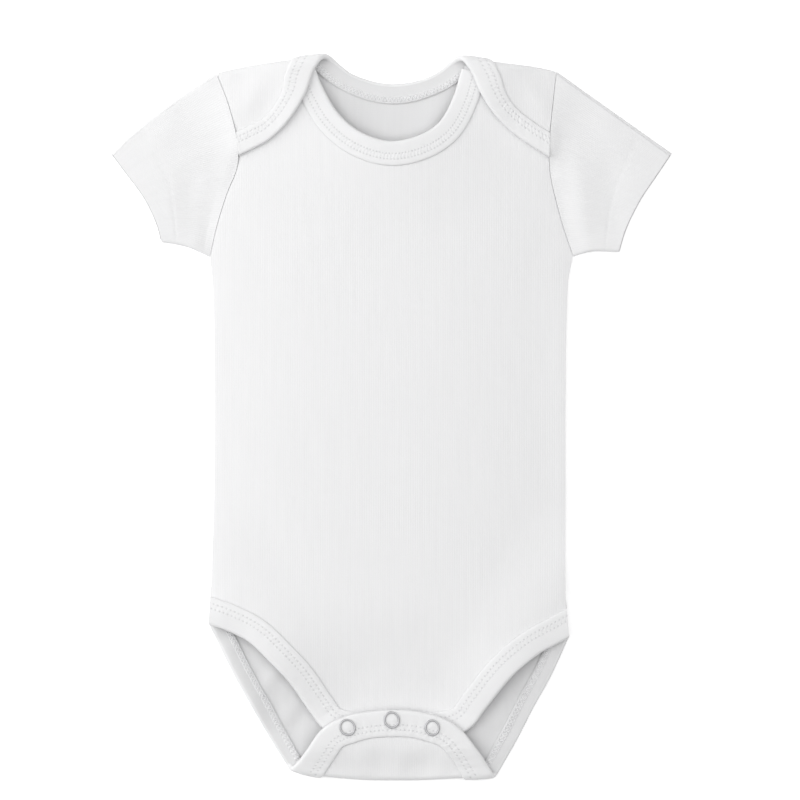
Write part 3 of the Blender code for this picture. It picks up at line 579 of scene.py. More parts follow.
    def back_point(self, cut: np.ndarray) -> np.ndarray:
        """Lay the back panel: laps over the shoulders, flap at the crotch.

        Args:
            cut: Points of the cut, one a row.

        Returns:
            Points of the laid panel's middle surface.
        """
        u, v = cut[:, 0], cut[:, 1]
        out = np.column_stack([u, v, np.zeros(len(u))])
        start, radius = self.shoulder_fold(u)
        end, crotch_r = self.crotch_fold(u)
        lap_x, lap_y = self.lap_zone
        over = (np.abs(u) > lap_x) & (v > lap_y) & (v > start)
        under = (v < self.flap_zone) & (v < end)
        ground = ~(over | under)
        out[ground, 2] = (self.half + self.ply * self.lift(cut[ground], self.ground_edges)
                          + np.maximum(0, self.creased(cut[ground], BACK_CREASES))
                          + self.side_rise(cut[ground]))
        if over.any():
            self._turn(out, over, start, radius, 1)
        if under.any():
            self._turn(out, under, end, crotch_r, -1)
        return out

    def _turn(self, out: np.ndarray, mask: np.ndarray, start: np.ndarray, radius: np.ndarray,
              sense: int) -> None:
        """Lay the points past a fold.

        Args:
            out: Points, changed where the mask is set.
            mask: Which points are past the fold's start.
            start: Where the fold starts.
            radius: Middle radius of the fold.
            sense: 1 at the shoulders and -1 at the crotch.
        """
        start, radius = start[mask], radius[mask]
        angle = sense * (out[mask, 1] - start) / radius
        turn = np.minimum(math.pi, angle)
        y = start + sense * (radius * np.sin(turn) - np.maximum(0, angle - math.pi) * radius)
        laid = np.column_stack([out[mask, 0], y])
        if sense > 0:
            own = np.where(laid[:, 0] < 0, *(self.lift(laid, [self.lap_lines[side]])
                                             for side in Side))
            height = self.lap_height(laid)
        else:
            own = self.lift(laid, [self.flap_line])
            height = self.flap_height(laid)
        rounded = self.half + radius * (1 - np.cos(turn))
        out[mask, 1] = y
        out[mask, 2] = np.where(turn >= math.pi, height, rounded) + self.ply * own

    def front_point(self, cut: np.ndarray) -> np.ndarray:
        """Lay the front panel, with its soft creases.

        Args:
            cut: Points of the cut, one a row.

        Returns:
            Points of the laid panel's middle surface.
        """
        near = nearest(cut, [self.front_neck_line, self.front_leg_line])
        creases = self.creased(cut, FRONT_CREASES) * smooth(near, *self.crease_clear)
        return np.column_stack([cut, self.front_height(cut) + creases])

    def over_shoulder(self, x: float, y: float) -> Point:
        """A point of a lap, as laid, in the flat cut of the back panel."""
        start, radius = self.shoulder_fold(np.array([x]))
        return (x, float(2 * start[0] + math.pi * radius[0] - y))

    def under_crotch(self, x: float, y: float) -> Point:
        """A point of the crotch flap, as laid, in the flat cut of the back panel."""
        end, radius = self.crotch_fold(np.array([x]))
        return (x, float(2 * end[0] - math.pi * radius[0] - y))

    def normals(self, rule: Rule, cut: np.ndarray) -> np.ndarray:
        """Unit normals of a surface rule: up where the cloth lies unfolded.

        Args:
            rule: The surface rule.
            cut: Points of the cut, one a row.

        Returns:
            One normal for each point.
        """
        across, along = (rule(cut + step) - rule(cut - step) for step in np.eye(2) * self.probe)
        normal = np.cross(across, along)
        return normal / np.linalg.norm(normal, axis=1)[:, None]

    def back_neck_path(self, step: float) -> np.ndarray:
        """Cut edge from the right lap's armhole end, round the back neck, to the left lap's.

        Args:
            step: Spacing of the points returned.

        Returns:
            Points of the edge.
        """
        left, right = ([self.over_shoulder(*knot) for knot in knots(LAP_EDGE, side)]
                       + knots(BACK_NECK, side)[1:] for side in Side)
        return across_middle(right, left, step)

    def back_leg_path(self, step: float) -> np.ndarray:
        """Cut edge from the left hip, down and round the crotch flap, to the right hip.

        Args:
            step: Spacing of the points returned.

        Returns:
            Points of the edge.
        """
        left, right = (knots(BACK_LEG, side)[:-1]
                       + [self.under_crotch(*knot) for knot in knots(FLAP_EDGE, side)]
                       for side in Side)
        return across_middle(left, right, step)

    def front_top(self, x: float) -> float:
        """How far up the front's shoulder reaches inside the shoulder fold."""
        return float(self.shoulder_fold(np.array([x]))[0][0]) - self.fold_clear

    def front_neck_path(self, step: float) -> np.ndarray:
        """Edge of the front neck, from right to left, inside the shoulder folds."""
        line = both_sides(FRONT_NECK, step)[::-1]
        return np.array([p for p in line if p[1] < self.front_top(p[0]) - self.fold_clear])

    def armhole(self, side: Side, step: float) -> np.ndarray:
        """The armhole seam of one side, moved in by the seam's gap."""
        line = one_side(ARMHOLE, side, step)
        return line + left_normals(line) * (self.seam if side is Side.LEFT else -self.seam)

    def below_fold(self, side: Side, step: float) -> np.ndarray:
        """The part of an armhole below the shoulder fold, starting exactly where the fold does.

        Args:
            side: The garment's side.
            step: Spacing of the points returned.

        Returns:
            Points of the seam, downwards.
        """
        fine = self.armhole(side, self.fine_step)
        start = next(p for p in fine if p[1] <= self.shoulder_fold(p[:1])[0][0])
        line = [p for p in self.armhole(side, step) if p[1] < start[1] - step / 3]
        return np.vstack([[start], line])

    def lap_armhole(self, side: Side, step: float) -> np.ndarray:
        """The armhole edge of a lap in the cut, from the shoulder fold outwards.

        Args:
            side: The garment's side.
            step: Spacing of the points returned.

        Returns:
            Points of the cut.
        """
        end = knots(LAP_EDGE, side)[0][1] + 2 * self.edge_r
        line = [p for p in self.below_fold(side, step)[1:] if p[1] > end + step / 3]
        last = next(p for p in self.armhole(side, self.fine_step) if p[1] <= end)
        return np.array([self.over_shoulder(x, y) for x, y in line + [last]])

    def lap_lean(self, side: Side) -> np.ndarray:
        """Find the direction of the armhole seam across the end of a lap's binding, in the cut.

        Args:
            side: The garment's side.

        Returns:
            The direction, from the strip's edge to its seam.
        """
        low = knots(LAP_EDGE, side)[0][1]
        line = self.armhole(side, 0.5)
        ends = [next(p for p in line if p[1] <= y) for y in (low + self.neck_outer, low)]
        return np.subtract(self.over_shoulder(*ends[0]), self.over_shoulder(*ends[1]))


# ---------------------------------------------------------------- shader nodes

# places of a Mix node's colour sockets, whose names are shared with its other kinds
MIX_SHARE, MIX_LOW, MIX_HIGH, MIX_COLOUR = 0, 6, 7, 2


class Value:
    """A number in a material, on which Python's operators add Math nodes."""

    def __init__(self, shader: "Shader", node: bpy.types.Node, output: int = 0) -> None:
        """Wrap a node's output."""
        self.shader = shader
        self.socket = node.outputs[output]

    def _math(self, operation: str, *values: "Value | float") -> "Value":
        """A Math node on these values."""
        made = self.shader.node("ShaderNodeMath", {"operation": operation}, dict(enumerate(values)))
        return Value(self.shader, made)

    def __add__(self, other: "Value | float") -> "Value":
        """Sum."""
        return self._math("ADD", self, other)

    __radd__ = __add__

    def __sub__(self, other: "Value | float") -> "Value":
        """Difference."""
        return self._math("SUBTRACT", self, other)

    def __rsub__(self, other: "Value | float") -> "Value":
        """Difference, reflected."""
        return self._math("SUBTRACT", other, self)

    def __mul__(self, other: "Value | float") -> "Value":
        """Product."""
        return self._math("MULTIPLY", self, other)

    __rmul__ = __mul__

    def __truediv__(self, other: "Value | float") -> "Value":
        """Quotient."""
        return self._math("DIVIDE", self, other)

    def sine(self) -> "Value":
        """Sine of the value in radians."""
        return self._math("SINE", self)

    def size(self) -> "Value":
        """The value without its sign."""
        return self._math("ABSOLUTE", self)

    def from_nearest(self) -> "Value":
        """How far the value is from the nearest whole number."""
        return self._math("FRACT", self + 0.5) - 0.5

    def over_zero(self) -> "Value":
        """The value, or 0 where it is less."""
        return self._math("MAXIMUM", self, 0.0)


class Shader:
    """One material's nodes."""

    def __init__(self, name: str) -> None:
        """Start a material with its Principled shader.

        Args:
            name: The material's name.
        """
        self.material = bpy.data.materials.new(name)
        self.material.use_nodes = True
        self.tree = self.material.node_tree
        self.surface = self.tree.nodes["Principled BSDF"]

    def node(self, kind: str, settings: dict | None = None,
             inputs: dict | None = None) -> bpy.types.Node:
        """Add a node.

        Args:
            kind: The node's type.
            settings: Its own settings, set first.
            inputs: Values or links of its sockets, by name or number.

        Returns:
            The node.
        """
        made = self.tree.nodes.new(kind)
        for name, value in (settings or {}).items():
            setattr(made, name, value)
        for name, value in (inputs or {}).items():
            self._feed(made.inputs[name], value)
        return made

    def _feed(self, socket: bpy.types.NodeSocket, value: object) -> None:
        """Link a value to a socket, or set it there.

        Args:
            socket: The socket that is fed.
            value: A value or an output to link, or a constant.
        """
        if isinstance(value, Value):
            value = value.socket
        if isinstance(value, bpy.types.NodeSocket):
            self.tree.links.new(value, socket)
        else:
            socket.default_value = value

    def dress(self, inputs: dict[str, object]) -> None:
        """Feed sockets of the Principled shader, by name."""
        for name, value in inputs.items():
            self._feed(self.surface.inputs[name], value)

    def noise(self, where: bpy.types.NodeSocket, scale: float, detail: float = 2.0) -> Value:
        """Smooth noise from 0 to 1."""
        inputs = {"Vector": where, "Scale": scale, "Detail": detail}
        return Value(self, self.node("ShaderNodeTexNoise", None, inputs))

    def mix(self, share: Value, low: Colour, high: Colour) -> bpy.types.NodeSocket:
        """A colour between two colours.

        Args:
            share: 0 for the low colour and 1 for the high one.
            low: A colour or the output of one.
            high: A colour or the output of one.

        Returns:
            The mixed colour's output.
        """
        low, high = ((*tone, 1.0) if isinstance(tone, tuple) else tone for tone in (low, high))
        inputs = {MIX_SHARE: share, MIX_LOW: low, MIX_HIGH: high}
        return self.node("ShaderNodeMix", {"data_type": "RGBA"}, inputs).outputs[MIX_COLOUR]

    def stretched(self, where: bpy.types.NodeSocket, scale: tuple) -> bpy.types.NodeSocket:
        """Coordinates scaled along each axis."""
        inputs = {0: where, 1: scale}
        return self.node("ShaderNodeVectorMath", {"operation": "MULTIPLY"}, inputs).outputs[0]

    def bump(self, height: Value, strength: float, depth: float) -> None:
        """Raise the surface by a height of 0 to 1, times a depth in metres."""
        inputs = {"Strength": strength, "Distance": depth, "Height": height}
        self.dress({"Normal": self.node("ShaderNodeBump", None, inputs).outputs[0]})


class Knit(Enum):
    """How a knit's ridges run in the cut."""

    WALES = "wales"
    RIBS = "ribs"


@dataclass(frozen=True)
class NeedleRows:
    """Rows of needle holes across a strip, each half a pitch on from the one before, each hole
    darkened with painted shade.
    """

    across: tuple[float, ...] = ()
    pitch: float = 2.6
    radius: float = 0.66
    depth: float = 0.16
    ladder: float = 0.035
    slant: float = 2.2
    # The last four fields paint shade into the holes: its colour, how strong it is, and how that
    # varies from patch to patch.
    inside: Rgb = (0.45, 0.45, 0.46)
    hole_shade_share: float = 0.44
    patch_scale: float = 330.0
    patches: Point = (1.4, 0.2)


@dataclass(frozen=True)
class KnitFinish:
    """White cotton knit, its ridges drawn from the cut's own coordinates."""

    name: str
    knit: Knit
    light: Rgb
    dark: Rgb
    pitch: float
    course: float
    relief: float
    streak: float
    needles: NeedleRows = NeedleRows()
    wander_scale: float = 260.0
    wander: float = 0.35
    fuzz_scale: float = 2600.0
    fuzz_detail: float = 3.0
    streak_scale: float = 420.0
    streak_squeeze: float = 0.05
    shade_scale: float = 22.0
    ridge_shade: float = 0.3
    loop_bend: float = 1.2
    ridge_height: float = 0.45
    loop_height: float = 0.10
    fuzz_height: float = 0.25
    streak_height: float = 0.2
    roughness: float = 0.92
    sheen: float = 0.15
    sheen_roughness: float = 0.6
    specular: float = 0.2

    def _holes(self, across: Value, along: Value) -> Value | None:
        """Draw the needle holes.

        Args:
            across: Distance across the strip in metres.
            along: Distance along the strip in metres.

        Returns:
            1 in the middle of each hole, falling to 0 at its rim, or None where there is no row.
        """
        rows, total = self.needles, None
        for k, row in enumerate(rows.across):
            off_row = (across - row * MM) / (rows.radius * MM)
            in_pitch = (along / (rows.pitch * MM) + k / 2).from_nearest()
            off_hole = in_pitch * (rows.pitch / rows.radius)
            hole = (1.0 - off_row * off_row - off_hole * off_hole).over_zero()
            total = hole if total is None else total + hole
        return total

    def _ladder(self, across: Value, along: Value) -> Value:
        """Draw the threads that cross between the first and the last row.

        Args:
            across: Distance across the strip in metres.
            along: Distance along the strip in metres.

        Returns:
            1 on a thread, falling to -1 between two.
        """
        rows = self.needles
        first, last = rows.across[0] * MM, rows.across[-1] * MM
        off = (across - (first + last) / 2) / ((last - first) / 2)
        bars = (along * (TURN / (rows.pitch * MM)) + off * rows.slant).sine()
        return (1.0 - off * off).over_zero() * bars

    def make(self) -> bpy.types.Material:
        """Build the material: ridges, loops, fuzz and streaks, and needle holes over them, sunk by
        the bump and darkened with painted shade.

        Returns:
            The material.
        """
        shader = Shader(self.name)
        coordinates = shader.node("ShaderNodeTexCoord")
        cut = shader.node("ShaderNodeSeparateXYZ", None, {"Vector": coordinates.outputs["UV"]})
        first, second = Value(shader, cut, 0), Value(shader, cut, 1)
        body = coordinates.outputs["Object"]
        wander = shader.noise(body, self.wander_scale) * self.wander
        ridge = (first * (TURN / (self.pitch * MM)) + wander).sine().size()
        loops = (second * (TURN / (self.course * MM)) + ridge * self.loop_bend).sine() * 0.5 + 0.5
        fuzz = shader.noise(body, self.fuzz_scale, self.fuzz_detail)
        squeezed = shader.stretched(coordinates.outputs["UV"], (1.0, self.streak_squeeze, 1.0))
        streaks = shader.noise(squeezed, self.streak_scale)
        shade = shader.noise(body, self.shade_scale) * 0.5 + fuzz * 0.5
        amount = (shade * (1 - self.ridge_shade - self.streak) + ridge * self.ridge_shade
                  + streaks * self.streak)
        colour = shader.mix(amount, self.dark, self.light)
        height = (ridge * self.ridge_height + loops * self.loop_height + fuzz * self.fuzz_height
                  + streaks * self.streak_height)
        across, along = (first, second) if self.knit is Knit.WALES else (second, first)
        holes = self._holes(across, along)
        if holes is not None:
            rows = self.needles
            # Painted shade: each needle hole is darkened in the colour, unevenly from patch to
            # patch, besides being sunk by the bump.
            most, least = rows.patches
            uneven_hole_shade = (shader.noise(body, rows.patch_scale) * most + least) * rows.hole_shade_share
            colour = shader.mix(holes * uneven_hole_shade, colour, rows.inside)
            height = height - holes * (rows.depth / self.relief)
            height = height + self._ladder(across, along) * (rows.ladder / self.relief)
        shader.dress({"Base Color": colour, "Roughness": self.roughness,
                      "Sheen Weight": self.sheen, "Sheen Roughness": self.sheen_roughness,
                      "Specular IOR Level": self.specular})
        shader.bump(height, 1.0, self.relief * MM)
        return shader.material


@dataclass(frozen=True)
class GrainFinish:
    """A finish whose colour, gloss and height follow one fine grain."""

    name: str
    light: Rgb
    dark: Rgb
    scale: float
    roughness: float
    detail: float = 2.0
    gloss_change: float = 0.0
    bump: float = 0.0
    relief: float = 0.0
    metallic: float = 0.0

    def constants(self) -> dict[str, object]:
        """Sockets of the Principled shader that hold one value all over."""
        return {"Metallic": self.metallic}

    def make(self) -> bpy.types.Material:
        """Build the material.

        Returns:
            The material.
        """
        shader = Shader(self.name)
        body = shader.node("ShaderNodeTexCoord").outputs["Object"]
        grain = shader.noise(body, self.scale, self.detail)
        shader.dress({"Base Color": shader.mix(grain, self.dark, self.light),
                      "Roughness": self.roughness})
        if self.gloss_change:
            shader.dress({"Roughness": grain * self.gloss_change + self.roughness})
        if self.bump:
            shader.bump(grain, self.bump, self.relief * MM)
        shader.dress(self.constants())
        return shader.material


@dataclass(frozen=True)
class FloorFinish(GrainFinish):
    """Plain pale studio floor, faintly lit from below."""

    glow: float = 0.25

    def constants(self) -> dict[str, object]:
        """Sockets of the Principled shader that hold one value all over."""
        return {"Specular IOR Level": 0.0, "Emission Color": (1, 1, 1, 1),
                "Emission Strength": self.glow}


JERSEY = KnitFinish("jersey", Knit.WALES, light=(0.825, 0.825, 0.83), dark=(0.745, 0.745, 0.75),
                    pitch=2.1, course=1.0, relief=0.13, streak=0.45)
# Painted shade: the jersey's inner face is the same white cotton, drawn darker for the shade on the
# back's inside seen through the neck and leg openings.
JERSEY_INSIDE_SHADED = KnitFinish("jersey_inside_painted_shade", Knit.WALES, light=(0.735, 0.735, 0.74),
                           dark=(0.67, 0.67, 0.675), pitch=1.25, course=1.0, relief=0.14,
                           streak=0.5)
RIB = KnitFinish("rib", Knit.RIBS, light=(0.82, 0.82, 0.825), dark=(0.78, 0.78, 0.785),
                 pitch=1.1, course=0.9, relief=0.11, streak=0.1)
# Painted shade: the strips' inner faces are the same rib, drawn darker for the shade inside the
# neck and leg openings.
RIB_INSIDE_SHADED = KnitFinish("rib_inside_painted_shade", Knit.RIBS, light=(0.76, 0.76, 0.765),
                        dark=(0.70, 0.70, 0.705), pitch=1.1, course=0.9, relief=0.13, streak=0.2)
THREAD = GrainFinish("sewing_thread", light=(0.86, 0.86, 0.865), dark=(0.76, 0.76, 0.77),
                     scale=3200.0, roughness=0.7, bump=0.6, relief=0.05)
SNAP_STEEL = GrainFinish("snap_steel", light=(0.50, 0.50, 0.51), dark=(0.34, 0.34, 0.35),
                         scale=900.0, detail=4.0, roughness=0.22, gloss_change=0.18, bump=0.3,
                         relief=0.03, metallic=1.0)
FLOOR = FloorFinish("studio_floor", light=(0.97, 0.97, 0.97), dark=(0.96, 0.96, 0.96),
                    scale=3.0, roughness=0.95)


# ---------------------------------------------------------------- meshes

SHARP_ANGLE = math.radians(50)


def make_piece(name: str, points: np.ndarray, faces: Sequence[Sequence[int]],
               cut: np.ndarray | None, materials: Sequence[bpy.types.Material],
               inside: np.ndarray | None = None) -> bpy.types.Object:
    """Make a named piece that rides on the garment.

    Args:
        name: The piece's name.
        points: Its points in millimetres.
        faces: Its faces.
        cut: Each point's place in the cut in millimetres, or None.
        materials: Its finish, and, if it has one, the darker copy with painted shade for its inner
            faces.
        inside: Whether each face is an inner one.

    Returns:
        The object, at the origin.
    """
    mesh = bpy.data.meshes.new(name)
    mesh.from_pydata((np.asarray(points) * MM).tolist(), [], [list(f) for f in faces])
    mesh.validate()
    if cut is not None:
        layer = mesh.uv_layers.new(name="cut")
        corners = np.zeros(len(mesh.loops), np.int32)
        mesh.loops.foreach_get("vertex_index", corners)
        layer.data.foreach_set("uv", (np.asarray(cut)[corners] * MM).astype(np.float32).ravel())
    mesh.shade_smooth()
    mesh.set_sharp_from_angle(angle=SHARP_ANGLE)
    for material in materials:
        mesh.materials.append(material)
    if inside is not None:
        mesh.polygons.foreach_set("material_index", np.asarray(inside, np.int32))
    obj = bpy.data.objects.new(name, mesh)
    bpy.context.scene.collection.objects.link(obj)
    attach(obj, BODY)
    return obj


def outward(obj: bpy.types.Object) -> None:
    """Turn a closed piece's faces outwards.

    Args:
        obj: The piece.
    """
    shape = bmesh.new()
    shape.from_mesh(obj.data)
    bmesh.ops.recalc_face_normals(shape, faces=shape.faces)
    if shape.calc_volume(signed=True) < 0:
        bmesh.ops.reverse_faces(shape, faces=shape.faces)
    shape.to_mesh(obj.data)
    shape.free()


# ---------------------------------------------------------------- sewing thread

@dataclass(frozen=True)
class ThreadSize:
    """Thickness of a thread and how far it is sunk in the cloth."""

    radius: float
    sunk: float = 0.0


@dataclass
class Threads:
    """Short lengths of thread, one a row."""

    starts: np.ndarray
    ends: np.ndarray
    ups: np.ndarray
    radius: float


@dataclass
class Seam:
    """All the thread of one seam, joined into one piece."""

    name: str
    threads: list[Threads]
    material: bpy.types.Material
    sides: int = 6
    dip: float = 0.7
    profile: tuple[Point, ...] = ((-1.0, 0.0), (-0.82, 0.75), (-0.3, 1.0), (0.3, 1.0),
                                  (0.82, 0.75), (1.0, 0.0))

    def build(self) -> bpy.types.Object:
        """Lay a tapered length for every thread, its two ends dipping into the cloth.

        Returns:
            The piece.
        """
        points, faces = [], []
        turns = np.arange(self.sides) * TURN / self.sides
        for group in self.threads:
            for start, end, up in zip(group.starts, group.ends, group.ups):
                half = (end - start) / 2
                side = np.cross(half, up)
                side /= np.linalg.norm(side)
                base = len(points)
                for at, share in self.profile:
                    sunk = up * group.radius * self.dip * abs(at)**3
                    middle = (start + end) / 2 + half * at - sunk
                    ring = turns[:1] if share == 0 else turns
                    points += [middle + (side * math.cos(turn) + up * math.sin(turn))
                               * group.radius * share for turn in ring]
                faces += self._capsule(base)
        obj = make_piece(self.name, np.array(points), faces, None, [self.material])
        outward(obj)
        LOG.info("%s: %d threads", self.name, sum(len(group.starts) for group in self.threads))
        return obj

    def _capsule(self, base: int) -> list[tuple[int, ...]]:
        """Close one thread, whose first and last stations are single points.

        Args:
            base: Number of its first point.

        Returns:
            Its faces.
        """
        inner = len(self.profile) - 2
        rings = [base + 1 + i * self.sides for i in range(inner)]
        last = base + 1 + inner * self.sides
        faces: list[tuple[int, ...]] = []
        for k in range(self.sides):
            n = (k + 1) % self.sides
            faces.append((base, rings[0] + n, rings[0] + k))
            faces.append((last, rings[-1] + k, rings[-1] + n))
            faces += [(a + k, a + n, b + n, b + k) for a, b in zip(rings, rings[1:])]
        return faces


NEEDLE_THREAD = ThreadSize(0.18, 0.05)
RUNG_THREAD = ThreadSize(0.24, 0.10)
LOOPER_THREAD = ThreadSize(0.36)
HEM_THREAD = ThreadSize(0.14)


# ---------------------------------------------------------------- cloth pieces

class ClothPiece:
    """What panels, strips and sleeves share once their meshes are made."""

    name: str

    def cut_size(self) -> tuple[Point, float | None]:
        """Width and length of the cut in metres, and its area where it is no rectangle."""
        raise NotImplementedError

    def in_place(self, obj: bpy.types.Object) -> bpy.types.Object:
        """Put a piece where its solid was.

        Args:
            obj: The piece.

        Returns:
            The same piece.
        """
        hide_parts(self.name)
        LOG.info("%s: %d faces", self.name, len(obj.data.polygons))
        return obj

    def declare(self, obj: bpy.types.Object, rests_on: list[str],
                with_pieces: list[bpy.types.Object]) -> None:
        """State the piece's cut.

        Args:
            obj: The piece; not used.
            rests_on: What it lies on; not used.
            with_pieces: The pieces sewn to it; not used.
        """
        flat, area = self.cut_size()


@dataclass
class ClothPanel(ClothPiece):
    """A flat-cut panel, laid by a surface rule and given its wall."""

    name: str
    outline: np.ndarray
    rule: Rule
    lay: LaidCloth
    materials: Sequence[bpy.types.Material]
    inside_up: bool
    folds: tuple[tuple[Fold, int], ...] = ()
    rim_step: float = 2.0
    rim_room: float = 1.3
    grid_step: float = 3.2
    grid_squeeze: float = 0.87
    fold_half_width: float = 106.0
    fold_step: float = 3.0
    fold_rows: int = 12
    fold_margin: float = 0.1
    fold_room: float = 2.0
    rolled: float = 0.4
    merge: float = 1e-4
    on_rim: float = 0.05

    def _fold_points(self) -> np.ndarray:
        """Lay out rows of points along each fold, a little past its start and its end.

        Returns:
            Points of the cut.
        """
        rows = [np.zeros((0, 2))]
        xs = np.arange(-self.fold_half_width, self.fold_half_width + 1, self.fold_step)
        for fold, sense in self.folds:
            start, radius = fold(xs)
            for share in np.linspace(-self.fold_margin, 1 + self.fold_margin, self.fold_rows + 3):
                rows.append(np.column_stack([xs, start + sense * math.pi * radius * share]))
        return np.vstack(rows)

    def _in_fold(self, points: np.ndarray) -> np.ndarray:
        """Find the points that the rows of a fold stand in for.

        Args:
            points: Points of the cut.

        Returns:
            Whether each point is in or close to a fold.
        """
        hit = np.zeros(len(points), bool)
        for fold, sense in self.folds:
            start, radius = fold(points[:, 0])
            gone, arc = sense * (points[:, 1] - start), math.pi * radius
            hit |= ((gone > -self.fold_margin * arc - self.fold_room)
                    & (gone < (1 + self.fold_margin) * arc + self.fold_room))
        return hit

    def _grid(self, rim: np.ndarray) -> np.ndarray:
        """Space points over the panel in rows that are offset by half a step.

        Args:
            rim: Points of the outline.

        Returns:
            Points of the cut, clear of the folds.
        """
        low, high = rim.min(axis=0), rim.max(axis=0)
        across = np.arange(low[0], high[0], self.grid_step)
        along = np.arange(low[1], high[1], self.grid_step * self.grid_squeeze)
        grid = np.array([(x + (j % 2) * self.grid_step / 2, y)
                         for j, y in enumerate(along) for x in across])
        return grid[~self._in_fold(grid)]

    def build(self) -> bpy.types.Object:
        """Triangulate the cut, lay it and give it its wall.

        Returns:
            The piece.
        """
        rim = even(np.vstack([self.outline, self.outline[:1]]), self.rim_step)[:-1]
        closed = np.vstack([rim, rim[:1]])
        loose = np.vstack([self._fold_points(), self._grid(rim)])
        loose = loose[within(loose, rim)]
        loose = loose[distance(loose, closed) > self.rim_room]
        points = [Vector(p) for p in np.vstack([rim, loose])]
        ring = [(i, (i + 1) % len(rim)) for i in range(len(rim))]
        cut, _, faces, *_ = delaunay_2d_cdt(points, ring, [], 1, self.merge)
        cut = np.array([(p.x, p.y) for p in cut])
        middle, normal = self.rule(cut), self.lay.normals(self.rule, cut)
        edge = np.where(distance(cut, closed) < self.on_rim, self.rolled / 2, 0.0)
        offset = normal * (self.lay.half - edge)[:, None]
        upward = [tuple(f) for f in faces]
        directed = {(f[i], f[(i + 1) % len(f)]) for f in upward for i in range(len(f))}
        sides = [(b, a, a + len(cut), b + len(cut)) for a, b in directed if (b, a) not in directed]
        downward = [tuple(i + len(cut) for i in reversed(f)) for f in upward]
        inside = np.repeat([self.inside_up, not self.inside_up, False],
                           [len(upward), len(upward), len(sides)])
        obj = make_piece(self.name, np.vstack([middle + offset, middle - offset]),
                         upward + downward + sides, np.vstack([cut, cut]), self.materials,
                         inside)
        return self.in_place(obj)

    def cut_size(self) -> tuple[Point, float]:
        """Width and length of the outline's box, and the area inside the outline."""
        width, length = (self.outline.max(axis=0) - self.outline.min(axis=0)) * MM
        return (float(width), float(length)), outline_area(self.outline) * MM * MM


@dataclass(frozen=True)
class Sewing:
    """Needle rows from a strip's seam, looper rows from its folded edge, and stitch length."""

    needle_rows: Point
    looper_rows: Point
    pitch: float


